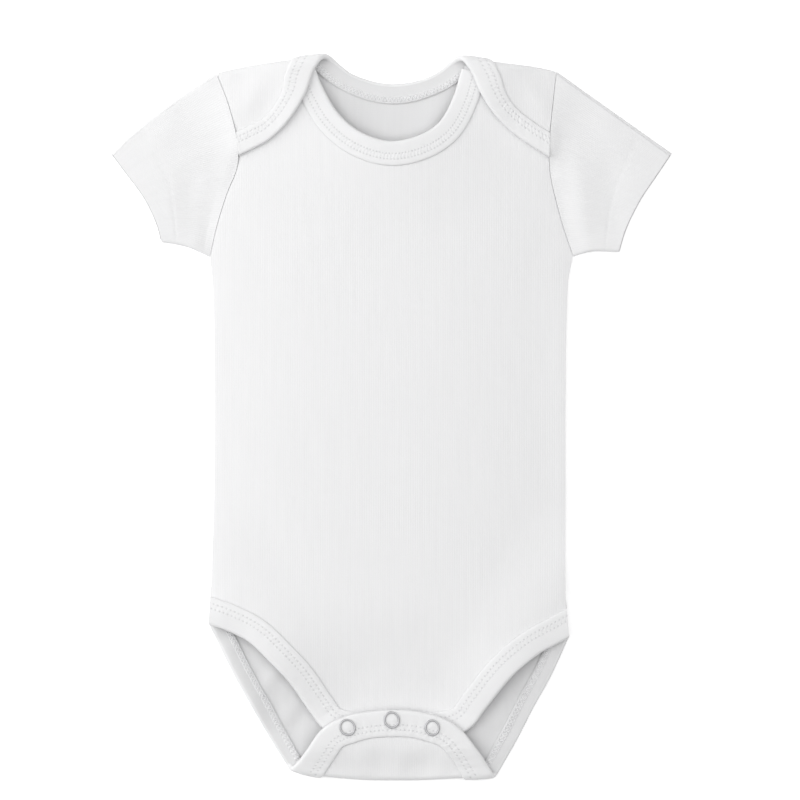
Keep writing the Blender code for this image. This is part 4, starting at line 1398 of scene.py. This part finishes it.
@dataclass
class Binding(ClothPiece):
    """A strip folded round a raw edge that has the cloth to its left, with its two needle rows.

    soft is for a strip that keeps clear of the folds and for one that goes round them. Each of
    the puckers has a share of the height, a pitch and a phase. lap_fold is the least v of the
    shoulders' fold, and the distances from the middle where it starts to count and counts fully.
    """

    name: str
    line: np.ndarray
    leans: tuple[np.ndarray | None, np.ndarray | None]
    widths: Point
    rule: Rule
    lay: LaidCloth
    # The darker rib with painted shade, for the strip's inner faces.
    inner_shaded_material: bpy.types.Material
    sewing: Sewing
    along_folds: bool = False
    domes: tuple[Point, ...] = ()
    dome_r: float = 4.0
    dome_rise: float = 0.6
    lean_length: float = 26.0
    soft: Point = (5.0, 9.0)
    spans: int = 11
    nose_turn: float = 22.5
    nose_room: float = 0.3
    rim: tuple[Point, ...] = ((0.0, 0.72), (0.25, 0.44), (0.7, 0.25), (1.4, 0.12), (2.5, 0.03),
                              (3.6, 0.0))
    rim_room: float = 0.4
    face_room: float = 0.01
    sink: float = 0.12
    sink_width: float = 1.3
    pucker: float = 0.10
    pucker_width: float = 6.0
    puckers: tuple[tuple[float, float, float], ...] = ((1.0, 5.2, 0.0), (0.6, 1.63 * 5.2, 1.3))
    lap_fold: tuple[float, float, float] = (180.0, 21.0, 35.0)
    flap_fold: float = -180.0
    fold_blend: Point = (16.0, 34.0)
    least_inward: float = 0.5

    def __post_init__(self) -> None:
        """Find the needle rows, the distance along them and the turns round the folded edge."""
        self.outer = 1 if self.widths[0] > self.widths[1] else -1
        full = max(self.widths)
        self.needles = [full - row for row in self.sewing.needle_rows]
        self.middle_row = sum(self.needles) / 2
        self.run = lengths_along(self.inset(self.middle_row))
        self.turns = np.radians(np.arange(90, -91, -self.nose_turn))

    def material(self) -> bpy.types.Material:
        """Make the rib with this strip's needle holes, on the side that shows outside.

        Returns:
            The material.
        """
        rows = self.sewing.needle_rows
        if self.outer < 0:
            nose = np.column_stack([np.cos(self.turns), np.sin(self.turns)]) * self.lay.edge_r
            length = sum(self.widths) - 2 * self.lay.edge_r + float(lengths_along(nose)[-1])
            rows = tuple(length - row for row in rows)
        needles = NeedleRows(rows, self.sewing.pitch)
        return replace(RIB, name="rib_" + self.name, needles=needles).make()

    def inward(self) -> np.ndarray:
        """Find the way in from the edge, turned near its ends to lie along the seams there.

        Returns:
            One direction for each point of the edge.
        """
        inward = left_normals(self.line)
        length = lengths_along(self.line)
        out = inward.copy()
        for lean, gone in zip(self.leans, (length, length[-1] - length)):
            if lean is None:
                continue
            lean = np.asarray(lean) / np.linalg.norm(lean)
            share = (1 - smooth(gone, 0, self.lean_length))[:, None]
            turned = (1 - share) * inward + share * lean
            turned /= (turned * inward).sum(axis=1)[:, None]
            out = np.where(share > 0, turned, out)
        return out

    def _fold_middle(self, u: np.ndarray, shoulder: bool) -> np.ndarray:
        """Find the middle of a fold in the cut.

        Args:
            u: Places across the cut.
            shoulder: True for the shoulders' fold and False for the crotch's.

        Returns:
            The middle's place along the cut at each u.
        """
        start, radius = (self.lay.shoulder_fold if shoulder else self.lay.crotch_fold)(u)
        return start + (1 if shoulder else -1) * math.pi * radius / 2

    def inset(self, width: np.ndarray | float) -> np.ndarray:
        """Move the edge in, along a fold's own line where it goes round one.

        Args:
            width: How far, for the whole edge or for each point.

        Returns:
            Points of the cut, one for each point of the edge.
        """
        inward = self.inward()
        square = self.line + inward * np.reshape(width, (-1, 1))
        if not self.along_folds:
            return self.line + self._softened(square - self.line)
        out = square.copy()
        u0, v0 = self.line[:, 0], self.line[:, 1]
        least_v, least_u, full_u = self.lap_fold
        past_neck = (np.abs(u0) > least_u) * smooth(np.abs(u0), least_u, full_u)
        for shoulder, here in ((True, (v0 > least_v) * past_neck), (False, v0 < self.flap_fold)):
            near = np.abs(v0 - self._fold_middle(u0, shoulder))
            blend = ((1 - smooth(near, *self.fold_blend)) * here)[:, None]
            reach = 1 / np.maximum(self.least_inward, np.abs(inward[:, 0]))
            u = u0 + np.copysign(width * reach, inward[:, 0])
            v = v0 + self._fold_middle(u, shoulder) - self._fold_middle(u0, shoulder)
            out = np.where(blend > 0, square * (1 - blend) + np.column_stack([u, v]) * blend, out)
        return self.line + self._softened(out - self.line)

    def _softened(self, shift: np.ndarray) -> np.ndarray:
        """Even out a shift along the edge but for its two ends.

        Args:
            shift: The shift of each point of the edge.

        Returns:
            The evened shift of each point.
        """
        soft = self.soft[self.along_folds]
        step = np.linalg.norm(self.line[1] - self.line[0])
        reach = int(3 * soft / step)
        bell = np.exp(-0.5 * (np.arange(-reach, reach + 1) * step / soft)**2)
        padded = np.pad(shift, ((reach, reach), (0, 0)), mode="edge")
        evened = np.column_stack([np.convolve(column, bell / bell.sum(), "valid")
                                  for column in padded.T])
        gone = np.arange(len(shift)) * step
        share = smooth(np.minimum(gone, gone[::-1]), 0, 3 * soft)[:, None]
        return shift + (evened - shift) * share

    def section(self) -> list[Point]:
        """Draw the U of the strip, out along its outer line and back along its inner one.

        Returns:
            Distance in from the edge and offset from the panel's middle, for each point.
        """
        edge_r, bore_r = self.lay.edge_r, self.lay.bore_r
        above, below = (np.linspace(edge_r, width, self.spans) for width in self.widths)
        level = [width[width < full - self.rim[-1][0] - self.rim_room]
                 for width, full in zip((above, below), self.widths)]
        outer = [(self.widths[0] - back, edge_r - down) for back, down in self.rim]
        outer += [(w, edge_r) for w in level[0][::-1]]
        outer += [(edge_r * (1 - math.cos(angle)), edge_r * math.sin(angle))
                  for angle in self.turns[1:-1]]
        outer += [(w, -edge_r) for w in level[1]]
        outer += [(self.widths[1] - back, down - edge_r) for back, down in self.rim[::-1]]
        nose = edge_r - bore_r
        inner = [(w, -bore_r) for w in below[:0:-1]]
        inner += [(nose + self.nose_room, -bore_r), (nose, 0.0), (nose + self.nose_room, bore_r)]
        return outer + inner + [(w, bore_r) for w in above[1:]]

    def relief(self, width: float, side: int, along: np.ndarray) -> np.ndarray:
        """How far the outer face sinks at the stitch rows and puckers between stitches.

        Args:
            width: Distance in from the edge.
            side: 1 above the cloth and -1 below it.
            along: Distance along the edge of each ring.

        Returns:
            Height to add at each ring.
        """
        sunk = sum(math.exp(-((width - row) / self.sink_width)**2) for row in self.needles)
        near = math.exp(-((width - self.middle_row) / self.pucker_width)**2)
        waves = sum(share * np.sin(along * TURN / pitch + phase)
                    for share, pitch, phase in self.puckers)
        return self.pucker * near * waves - (self.sink * sunk if side == self.outer else 0.0)

    def build(self) -> bpy.types.Object:
        """Loft the U section along the edge.

        Returns:
            The piece.
        """
        section = self.section()
        travelled = lengths_along(np.array(section))
        columns, cuts = [], []
        on_face = self.lay.bore_r + self.face_room
        for (width, height), gone in zip(section, travelled):
            cut = self.inset(width)
            laid, normal = self.rule(cut), self.lay.normals(self.rule, cut)
            offset = np.full(len(cut), height)
            if abs(height) > on_face and width >= self.lay.edge_r - self.face_room:
                side = 1 if height > 0 else -1
                offset = offset + side * self.relief(width, side, self.run)
                if side == self.outer:
                    offset = offset + side * self._domed(laid)
            columns.append(laid + normal * offset[:, None])
            cuts.append(np.column_stack([self.run, np.full(len(cut), gone)]))
        points = np.stack(columns, axis=1)
        rings, size = points.shape[:2]
        faces = [(i * size + k, i * size + (k + 1) % size, (i + 1) * size + (k + 1) % size,
                  (i + 1) * size + k) for i in range(rings - 1) for k in range(size)]
        faces.append(tuple(range(size - 1, -1, -1)))
        faces.append(tuple((rings - 1) * size + k for k in range(size)))
        inner = [height * self.outer < 0 and abs(height) > on_face and width > self.lay.edge_r
                 for width, height in section]
        inside = inner * (rings - 1) + [False, False]
        obj = make_piece(self.name, points.reshape(-1, 3), faces,
                         np.stack(cuts, axis=1).reshape(-1, 2),
                         (self.material(), self.inner_shaded_material), inside)
        outward(obj)
        return self.in_place(obj)

    def _domed(self, laid: np.ndarray) -> np.ndarray:
        """Raise the cloth that shows through each snap ring.

        Args:
            laid: Points of the laid cloth.

        Returns:
            Height to add at each point.
        """
        total = np.zeros(len(laid))
        for x, y in self.domes:
            near = np.hypot(laid[:, 0] - x, laid[:, 1] - y) / self.dome_r
            total += self.dome_rise * np.clip(1 - near * near, 0, 1)
        return total

    def _on_face(self, width: float, at: np.ndarray, side: int, height: float) -> np.ndarray:
        """Find points on or over the strip.

        Args:
            width: Distance in from the edge.
            at: Distances along the needle rows.
            side: 1 above the cloth and -1 below it.
            height: Distance from the panel's middle.

        Returns:
            One point for each distance along the rows.
        """
        cut = read_line(self.inset(width), self.run, at)
        return self.rule(cut) + self.lay.normals(self.rule, cut) * side * height

    def _up(self, at: np.ndarray, side: int) -> np.ndarray:
        """Directions away from the strip's face at distances along the needle rows."""
        low, high = (self._on_face(self.needles[0], at, side, height) for height in (0.0, 1.0))
        return high - low

    def needle_threads(self, size: ThreadSize, span: Point = (0.2, 0.8)) -> list[Threads]:
        """Lay the straight stitches of both rows on the outer face.

        Args:
            size: The thread's size.
            span: Where a stitch leaves and meets the cloth, in shares of the pitch.

        Returns:
            The threads of each row.
        """
        pitch, high = self.sewing.pitch, self.lay.edge_r - size.sunk
        out = []
        for k, width in enumerate(self.needles):
            at = np.arange(1, self.run[-1] / pitch - 1) * pitch - k * pitch / 2
            ends = [self._on_face(width, at + share * pitch, self.outer, high) for share in span]
            out.append(Threads(*ends, self._up(at, self.outer), size.radius))
        return out

    def rungs(self, size: ThreadSize, off: float = 0.25, past: float = 0.5) -> list[Threads]:
        """Lay the threads that cross the outer face between the rows.

        Args:
            size: The thread's size.
            off: How far along its pitch each thread lies, as a share.
            past: How far each end runs past its row.

        Returns:
            The threads.
        """
        pitch, high = self.sewing.pitch, self.lay.edge_r - size.sunk
        at = (np.arange(1, self.run[-1] / pitch - 1) + off) * pitch
        ends = [self._on_face(width, at, self.outer, high)
                for width in (self.needles[0] - past, self.needles[1] + past)]
        return [Threads(*ends, self._up(at, self.outer), size.radius)]

    def looper(self, size: ThreadSize, lifted: float = 0.55, thin: float = 0.8) -> list[Threads]:
        """Lay the zigzag on the inner face between the rows, and a line of thread along each.

        Args:
            size: The thread's size.
            lifted: Height of the thread's middle over the face, in its own radii.
            thin: Thickness of the lines, as a share of the zigzag's.

        Returns:
            The threads of the zigzag and of both lines.
        """
        side, pitch = -self.outer, self.sewing.pitch
        at = np.arange(1, int(self.run[-1] / pitch) - 1) * pitch
        high = self.lay.edge_r + size.radius * lifted
        rows = [self._on_face(width, at + k * pitch / 2, side, high)
                for k, width in enumerate(self.sewing.looper_rows)]
        up = self._up(at, side)
        out = [Threads(rows[0], rows[1], up, size.radius),
               Threads(rows[1][:-1], rows[0][1:], up[:-1], size.radius)]
        return out + [Threads(row[:-1], row[1:], up[:-1], size.radius * thin) for row in rows]

    def cut_size(self) -> tuple[Point, None]:
        """Width of the strip opened out, and length of its edge."""
        strip = sum(self.widths) - 2 * self.lay.edge_r + math.pi * self.lay.ply
        return (strip * MM, float(lengths_along(self.line)[-1]) * MM), None


@dataclass
class Sleeve(ClothPiece):
    """A short set-in sleeve lying flat: one tube, its hem turned in at the cuff."""

    name: str
    side: Side
    lay: LaidCloth
    materials: Sequence[bpy.types.Material]
    line_step: float = 0.5
    rows: int = 28
    spans: int = 30
    fold_r: float = 1.6
    fold_spans: int = 9
    loft: float = 0.6
    rise: float = 0.42
    evened_by: float = 0.14
    window: int = 13
    creased_by: float = 0.15
    hem_depth: float = 23.0
    hem_extra: float = 0.5
    hem_step: Point = (-1.0, 3.0)
    hem_dip: float = 0.16
    hem_dip_width: float = 1.4
    stitch: float = 0.65
    stitch_every: int = 4
    under_shift: float = 0.7
    under_from: float = 0.7
    ease: float = 1.05

    def __post_init__(self) -> None:
        """Work out the four edges, each with a point for every row or share."""
        side, step = self.side, self.line_step
        seam = one_side(ARMHOLE, side, step)
        sense = -self.lay.seam if side is Side.LEFT else self.lay.seam
        self.seam_line = seam + left_normals(seam) * sense
        self.cuff = one_side(CUFF, side, step)
        self.top = self._in_rows(one_side(SLEEVE_TOP, side, step))
        self.under = self._in_rows(one_side(SLEEVE_UNDER[::-1], side, step))
        self.top[0], self.under[0] = self.seam_line[0], self.seam_line[-1]
        self.length = float(np.linalg.norm(self.top[-1] - self.top[0]))

    def _in_rows(self, line: np.ndarray) -> np.ndarray:
        """The line with one point for each row."""
        return line[np.linspace(0, len(line) - 1, self.rows + 1).round().astype(int)]

    @staticmethod
    def _share(line: np.ndarray, t: np.ndarray | float) -> np.ndarray:
        """Points a share t of the way along an evenly spaced line."""
        return read_line(line, range(len(line)), t * (len(line) - 1))

    def plan(self, s: float, t: np.ndarray) -> np.ndarray:
        """Find ground points of a row.

        Args:
            s: How far the row is from the seam to the cuff, as a share.
            t: How far each point is from the top fold to the underarm, as a share.

        Returns:
            One point for each t.
        """
        first, last = ((1 - s) * self.seam_line[k] + s * self.cuff[k] for k in (0, -1))
        top, under = (self._share(line, s) for line in (self.top, self.under))
        flat = (1 - s) * self._share(self.seam_line, t) + s * self._share(self.cuff, t)
        t = t[:, None]
        return flat + (1 - t) * top + t * under - (1 - t) * first - t * last

    def _evened(self, heights: np.ndarray, share: float) -> np.ndarray:
        """Even out heights along a row.

        Args:
            heights: The heights.
            share: How far each goes to the running average.

        Returns:
            The evened heights.
        """
        padded = np.pad(heights, self.window // 2, mode="edge")
        average = np.convolve(padded, np.ones(self.window) / self.window, "valid")
        return heights + (average - heights) * share

    def _upper(self, s: float, t: np.ndarray) -> np.ndarray:
        """Find the middle of the upper layer, level with the body where it is sewn on.

        Args:
            s: How far the row is from the seam to the cuff, as a share.
            t: How far each point is from the top fold to the underarm, as a share.

        Returns:
            One height for each t.
        """
        free = self.lay.half + 2 * self.fold_r + self.loft * np.sin(math.pi * t)
        flat = self.plan(s, t)
        sewn = self._evened(self.lay.seam_height(flat), float(smooth(s, 0, self.evened_by)))
        folded = self.lay.creased(flat, SLEEVE_CREASES) * smooth(s, 0, self.creased_by)
        return sewn + (free - sewn) * smooth(s, 0, self.rise) + folded

    def _loops(self, s: float) -> tuple[np.ndarray, np.ndarray]:
        """Draw the tube's section at one row.

        Args:
            s: How far the row is from the seam to the cuff, as a share.

        Returns:
            Points of the outer loop and of the inner loop.
        """
        half = self.lay.half
        ends = self.plan(s, np.array([0.0, 1.0]))
        chord = np.linalg.norm(ends[1] - ends[0])
        margin = (self.fold_r + half) / chord
        from_cuff = (1 - s) * self.length
        past_hem = float(smooth(from_cuff, *(self.hem_depth + past for past in self.hem_step)))
        wall = self.lay.wall + self.hem_extra * (1 - past_hem)
        off_hem = (from_cuff - self.hem_depth) / self.hem_dip_width
        dip = self.hem_dip * math.exp(-off_hem**2)
        spread = margin + (1 - 2 * margin) * np.linspace(0, 1, self.spans + 1)
        turns = np.linspace(0, math.pi, self.fold_spans + 1)[1:-1]
        upper = self._upper(s, spread)
        first, last = (upper[0] - half) / 2, (upper[-1] - half) / 2
        loops = []
        for offset, sink in ((half, dip), (half - wall, 0.0)):
            reach = (self.fold_r + offset) / chord
            t = [spread, spread[-1] + reach * np.sin(turns), spread[::-1],
                 spread[0] - reach * np.sin(turns)]
            z = [upper + offset - sink, half + last + (last + offset) * np.cos(turns),
                 np.full(len(spread), half - offset),
                 half + first - (first + offset) * np.cos(turns)]
            flat = self.plan(s, np.concatenate(t))
            loops.append(np.column_stack([flat, np.concatenate(z)]))
        return loops[0], loops[1]

    def build(self) -> bpy.types.Object:
        """Loft the tube through its rows, outside then inside.

        Returns:
            The piece.
        """
        shares = np.linspace(0, 1, self.rows * 2 + 1)
        pairs = [self._loops(s) for s in shares]
        away = np.sign(self.cuff[0][0])
        for s, pair in zip(shares, pairs):
            shift = away * self.under_shift * float(smooth(s, self.under_from, 1.0))
            for loop in pair:
                loop[loop[:, 2] < self.lay.half + self.fold_r, 0] += shift
        rings = [pair[0] for pair in pairs] + [pair[1] for pair in reversed(pairs)]
        size = len(rings[0])
        faces = []
        for i in range(len(rings)):
            a, b = i * size, ((i + 1) % len(rings)) * size
            faces += [(a + k, a + (k + 1) % size, b + (k + 1) % size, b + k) for k in range(size)]
        along = np.repeat(np.concatenate([shares, shares[::-1]]) * self.length, size)
        around = np.tile(lengths_along(rings[len(shares) // 2]), len(rings))
        inside = np.repeat([False, True], len(shares) * size)
        obj = make_piece(self.name, np.vstack(rings), faces, np.column_stack([around, along]),
                         self.materials, inside)
        outward(obj)
        return self.in_place(obj)

    def hem_threads(self, size: ThreadSize) -> list[Threads]:
        """Lay the hem's small stitches on the upper layer.

        Args:
            size: The thread's size.

        Returns:
            The threads.
        """
        s, share = 1 - self.hem_depth / self.length, np.linspace(0.05, 0.95, 120)
        high = self._upper(s, share) + self.lay.half
        line = even(np.column_stack([self.plan(s, share), high - self.hem_dip]), self.stitch)
        starts, ends = line[0:-1:self.stitch_every], line[1::self.stitch_every]
        count = min(len(starts), len(ends))
        up = np.tile([0.0, 0.0, 1.0], (count, 1))
        return [Threads(starts[:count], ends[:count], up, size.radius)]

    def cut_size(self) -> tuple[Point, float]:
        """Measure the whole tube, opened out.

        Returns:
            Width and length of the box that its cut needs, and its area.
        """
        outline = np.vstack([self.top, self.cuff, self.under[::-1], self.seam_line[::-1]])
        area = 2 * outline_area(outline)
        deep = float(np.linalg.norm(self.seam_line[-1] - self.seam_line[0]))
        length = max(self.length, area / (2 * deep) * self.ease)
        return (2 * deep * MM, length * MM), area * MM * MM


@dataclass
class SnapRing:
    """An open metal ring on the crotch flap, pressed slightly oval."""

    name: str
    centre: Point
    base: float
    lean: float
    material: bpy.types.Material
    outer_r: float
    band: float = 1.1
    height: float = 0.8
    oval: float = 1.1
    rounding: float = 0.36
    rounding_steps: int = 5
    corners: int = 64
    merge: float = 0.01

    @property
    def inner_r(self) -> float:
        """Radius of the hole, across its shorter way."""
        return self.outer_r - self.band

    def build(self) -> bpy.types.Object:
        """Draw the ring's section out of a circle, close it and round its edges.

        Returns:
            The piece.
        """
        bpy.ops.object.select_all(action="DESELECT")
        place = (self.centre[0] * MM, self.centre[1] * MM, self.base * MM)
        bpy.ops.mesh.primitive_circle_add(vertices=self.corners, radius=self.inner_r * MM,
                                          location=place)
        obj = bpy.context.object
        obj.name = self.name
        bpy.ops.object.mode_set(mode="EDIT")
        grow = self.outer_r / self.inner_r
        for rise, scale in ((self.height, 1.0), (0, grow), (-self.height, 1.0), (0, 1 / grow)):
            self._extrude(rise, scale)
        bpy.ops.mesh.select_all(action="SELECT")
        bpy.ops.mesh.remove_doubles(threshold=self.merge * MM)
        bpy.ops.mesh.normals_make_consistent(inside=False)
        bpy.ops.transform.resize(value=(1.0, self.oval, 1.0), center_override=place)
        bpy.ops.transform.rotate(value=-self.lean, orient_axis="Z", center_override=place)
        bpy.ops.object.mode_set(mode="OBJECT")
        bpy.ops.object.transform_apply(location=True, rotation=True, scale=True)
        bevel = obj.modifiers.new("Rounded", "BEVEL")
        bevel.width = self.rounding * MM
        bevel.segments = self.rounding_steps
        bevel.limit_method = "ANGLE"
        bpy.ops.object.modifier_apply(modifier=bevel.name)
        bpy.ops.object.shade_smooth()
        obj.data.materials.append(self.material)
        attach(obj, BODY)
        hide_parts(self.name)
        LOG.info("%s: ring of %.1f mm", self.name, 2 * self.outer_r)
        return obj

    def _extrude(self, rise: float, scale: float) -> None:
        """Extrude the selected edges.

        Args:
            rise: How far they move up.
            scale: How they grow about the ring's axis.
        """
        move, centre = (0, 0, rise * MM), (self.centre[0] * MM, self.centre[1] * MM, 0.0)
        bpy.ops.mesh.extrude_edges_move(TRANSFORM_OT_translate={"value": move})
        bpy.ops.transform.resize(value=(scale, scale, 1.0), center_override=centre)


# ---------------------------------------------------------------- the garment

FRONT_NECK_SEWING = Sewing((4.1, 7.4), (11.6, 8.2), 2.0)
BACK_NECK_SEWING = Sewing((3.2, 6.6), (11.6, 8.2), 2.2)
LEG_SEWING = Sewing((3.9, 6.9), (10.0, 6.8), 2.6)


@dataclass
class Bodysuit:
    """The whole garment, built piece by piece."""

    seam_step: float = 4.0
    armhole_step: float = 3.0
    turn_points: int = 10
    front_neck_step: float = 1.6
    front_leg_step: float = 1.8
    back_step: float = 1.2
    corner_room: Point = (2.0, 1.0)
    flap_middle: Point = (0.0, -180.0)
    ring_gap: float = 0.08

    def __post_init__(self) -> None:
        """Make the lay and the finishes."""
        self.lay = LaidCloth()
        # The second jersey finish is the darker copy with painted shade, for the inner faces.
        self.jersey = (JERSEY.make(), JERSEY_INSIDE_SHADED.make())
        self.rib_inside_painted_shade = RIB_INSIDE_SHADED.make()
        self.thread = THREAD.make()
        self.steel = SNAP_STEEL.make()

    def _side_seam(self, side: Side) -> np.ndarray:
        """A side seam from the hip up, without its two ends."""
        return one_side(SIDE_SEAM, side, self.seam_step)[::-1][1:-1]

    def back_outline(self) -> np.ndarray:
        """Draw the back's cut, anticlockwise from the left hip.

        Returns:
            Points of the outline.
        """
        lay = self.lay
        leg, neck = (strip.inset(lay.edge_r)
                     for strip in (self.leg_binding_back(), self.neck_binding_back()))
        sides = []
        for side in Side:
            ground = lay.below_fold(side, self.armhole_step)
            start, radius = lay.shoulder_fold(ground[:1, 0])
            turn = [(ground[0][0], float(start[0] + math.pi * radius[0] * k / self.turn_points))
                    for k in range(1, self.turn_points + 1)]
            sides.append(np.vstack([self._side_seam(side), ground[::-1], turn,
                                    lay.lap_armhole(side, self.armhole_step)]))
        left, right = sides
        return np.vstack([leg, right, neck, left[::-1]])

    def front_outline(self) -> np.ndarray:
        """Draw the front's cut, anticlockwise from the left hip.

        Returns:
            Points of the outline.
        """
        lay = self.lay
        leg, neck = (strip.inset(lay.edge_r)
                     for strip in (self.leg_binding_front(), self.neck_binding_front()))
        from_neck, from_seam = self.corner_room
        sides = []
        for side, corner in ((Side.LEFT, neck[-1][0]), (Side.RIGHT, neck[0][0])):
            seam = [p for p in lay.below_fold(side, self.armhole_step)
                    if p[1] < lay.front_top(p[0]) - from_seam]
            end = seam[0][0]
            edge = [x for x, _ in one_side(SHOULDER_FOLD, side, self.seam_step)
                    if abs(corner) + from_neck < abs(x) < abs(end) - from_seam]
            top = [(x, lay.front_top(x)) for x in (end, *edge, corner)]
            sides.append(np.vstack([self._side_seam(side), np.array(seam)[::-1], top]))
        left, right = sides
        return np.vstack([leg, right, neck, left[::-1]])

    def side_leans(self) -> tuple[np.ndarray, np.ndarray]:
        """Find the directions up the two side seams from the hips.

        Returns:
            The left seam's direction and the right's.
        """
        ends = [knots(SIDE_SEAM, side) for side in Side]
        left, right = (np.subtract(table[-2], table[-1]) for table in ends)
        return left, right

    def neck_binding_front(self) -> Binding:
        """Lay out the front neck's strip.

        Returns:
            The strip.
        """
        lay = self.lay
        line = lay.front_neck_path(self.front_neck_step)
        return Binding("front_neck_binding", line, (None, None), (lay.neck_outer, lay.neck_inner),
                       lay.front_point, lay, self.rib_inside_painted_shade, FRONT_NECK_SEWING)

    def neck_binding_back(self) -> Binding:
        """Lay out the strip of the back neck and both laps.

        Returns:
            The strip.
        """
        lay = self.lay
        leans = (lay.lap_lean(Side.RIGHT), lay.lap_lean(Side.LEFT))
        return Binding("back_neck_binding", lay.back_neck_path(self.back_step), leans,
                       (lay.neck_inner, lay.neck_outer), lay.back_point, lay, self.rib_inside_painted_shade,
                       BACK_NECK_SEWING, True)

    def leg_binding_front(self) -> Binding:
        """Lay out the strip of the front's legs and crotch tab.

        Returns:
            The strip.
        """
        lay, line = self.lay, both_sides(FRONT_LEG, self.front_leg_step)
        return Binding("front_leg_binding", line, self.side_leans(),
                       (lay.leg_outer, lay.leg_inner), lay.front_point, lay, self.rib_inside_painted_shade,
                       LEG_SEWING)

    def leg_binding_back(self) -> Binding:
        """Lay out the strip of the back's legs and crotch flap.

        Returns:
            The strip.
        """
        lay = self.lay
        return Binding("back_leg_binding", lay.back_leg_path(self.back_step), self.side_leans(),
                       (lay.leg_inner, lay.leg_outer), lay.back_point, lay, self.rib_inside_painted_shade,
                       LEG_SEWING, True, tuple(snap.centre for snap in SNAPS))

    def build(self) -> None:
        """Build every piece."""
        lay = self.lay
        back = ClothPanel("back_panel", self.back_outline(), lay.back_point, lay, self.jersey, True,
                          ((lay.shoulder_fold, 1), (lay.crotch_fold, -1)))
        front = ClothPanel("front_panel", self.front_outline(), lay.front_point, lay, self.jersey,
                           False)
        back.declare(back.build(), ["floor"], [])
        front.declare(front.build(), ["back_panel"], [])
        for name, side in (("sleeve_left", Side.LEFT), ("sleeve_right", Side.RIGHT)):
            sleeve = Sleeve(name, side, lay, self.jersey)
            made = sleeve.build()
            sewn = Seam(name + "_hem_stitches", sleeve.hem_threads(HEM_THREAD), self.thread).build()
            sleeve.declare(made, ["floor"], [sewn])
        plan = ((self.neck_binding_front(), "front_panel", True),
                (self.neck_binding_back(), "back_panel", True),
                (self.leg_binding_front(), "back_panel", False),
                (self.leg_binding_back(), "floor", False))
        for strip, below, laddered in plan:
            made = strip.build()
            threads = strip.needle_threads(NEEDLE_THREAD) + strip.looper(LOOPER_THREAD)
            if laddered:
                threads += strip.rungs(RUNG_THREAD)
            sewn = Seam(strip.name + "_stitches", threads, self.thread).build()
            strip.declare(made, [below], [sewn])
        self.build_snaps()

    def build_snaps(self) -> None:
        """Build the rings that show, and dress what lies under the flap."""
        lay = self.lay
        top = float(lay.flap_height(np.array([self.flap_middle]))[0]) + lay.ply + lay.edge_r
        for snap in SNAPS:
            SnapRing("snap_ring_" + snap.name, snap.centre, top + self.ring_gap,
                     math.radians(snap.lean), self.steel, snap.radius).build()
            for part in ("snap_socket_", "snap_stud_"):
                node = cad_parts[part + snap.name]
                node.data.materials.clear()
                node.data.materials.append(self.steel)


@dataclass(frozen=True)
class Lamp:
    """A square soft lamp that points at the garment. Place and size are in metres."""

    name: str
    place: tuple[float, float, float]
    size: float
    power: float

    def build(self) -> None:
        """Hang the lamp."""
        data = bpy.data.lights.new(self.name, "AREA")
        data.size = self.size
        data.energy = self.power
        lamp = bpy.data.objects.new(self.name, data)
        lamp.location = self.place
        lamp.rotation_euler = (-Vector(self.place)).to_track_quat("-Z", "Y").to_euler()
        bpy.context.scene.collection.objects.link(lamp)


@dataclass(frozen=True)
class Studio:
    """Plain pale floor, soft light from the left, and the camera above."""

    floor_size: float = 6.0
    floor_drop: float = 0.0002
    lamps: tuple[Lamp, ...] = (Lamp("overhead", (0.0, 0.15, 3.4), 4.5, 79.0),
                               Lamp("key", (-1.25, 0.28, 0.82), 1.5, 16.8),
                               Lamp("fill", (1.1, 0.7, 1.1), 1.4, 5.0))
    sky: float = 0.25
    view_width: float = 478.4
    centre: Point = (5.1, 10.2)
    lens: float = 200.0
    sensor: float = 36.0
    far_end: float = 20.0

    def build(self) -> None:
        """Make the floor, the lights and the camera."""
        bpy.ops.object.select_all(action="DESELECT")
        bpy.ops.mesh.primitive_plane_add(size=self.floor_size, location=(0, 0, -self.floor_drop))
        floor = bpy.context.object
        floor.name = "floor"
        floor.data.materials.append(FLOOR.make())
        bpy.ops.object.transform_apply(location=True, rotation=True, scale=True)
        world = bpy.data.worlds.new("studio")
        world.use_nodes = True
        world.node_tree.nodes["Background"].inputs["Color"].default_value = (1, 1, 1, 1)
        world.node_tree.nodes["Background"].inputs["Strength"].default_value = self.sky
        bpy.context.scene.world = world
        for lamp in self.lamps:
            lamp.build()
        lens = bpy.data.cameras.new("camera")
        lens.lens = self.lens
        lens.sensor_width = self.sensor
        lens.clip_end = self.far_end
        camera = bpy.data.objects.new("camera", lens)
        far = self.view_width * MM * self.lens / self.sensor
        camera.location = (self.centre[0] * MM, self.centre[1] * MM, far)
        bpy.context.scene.collection.objects.link(camera)
        bpy.context.scene.camera = camera
        bpy.context.scene.view_settings.view_transform = "Standard"


def main() -> None:
    """Build the studio and the garment."""
    logging.basicConfig(level=logging.INFO, format="%(name)s: %(message)s")
    Studio().build()
    Bodysuit().build()


if __name__ == "__main__":
    main()
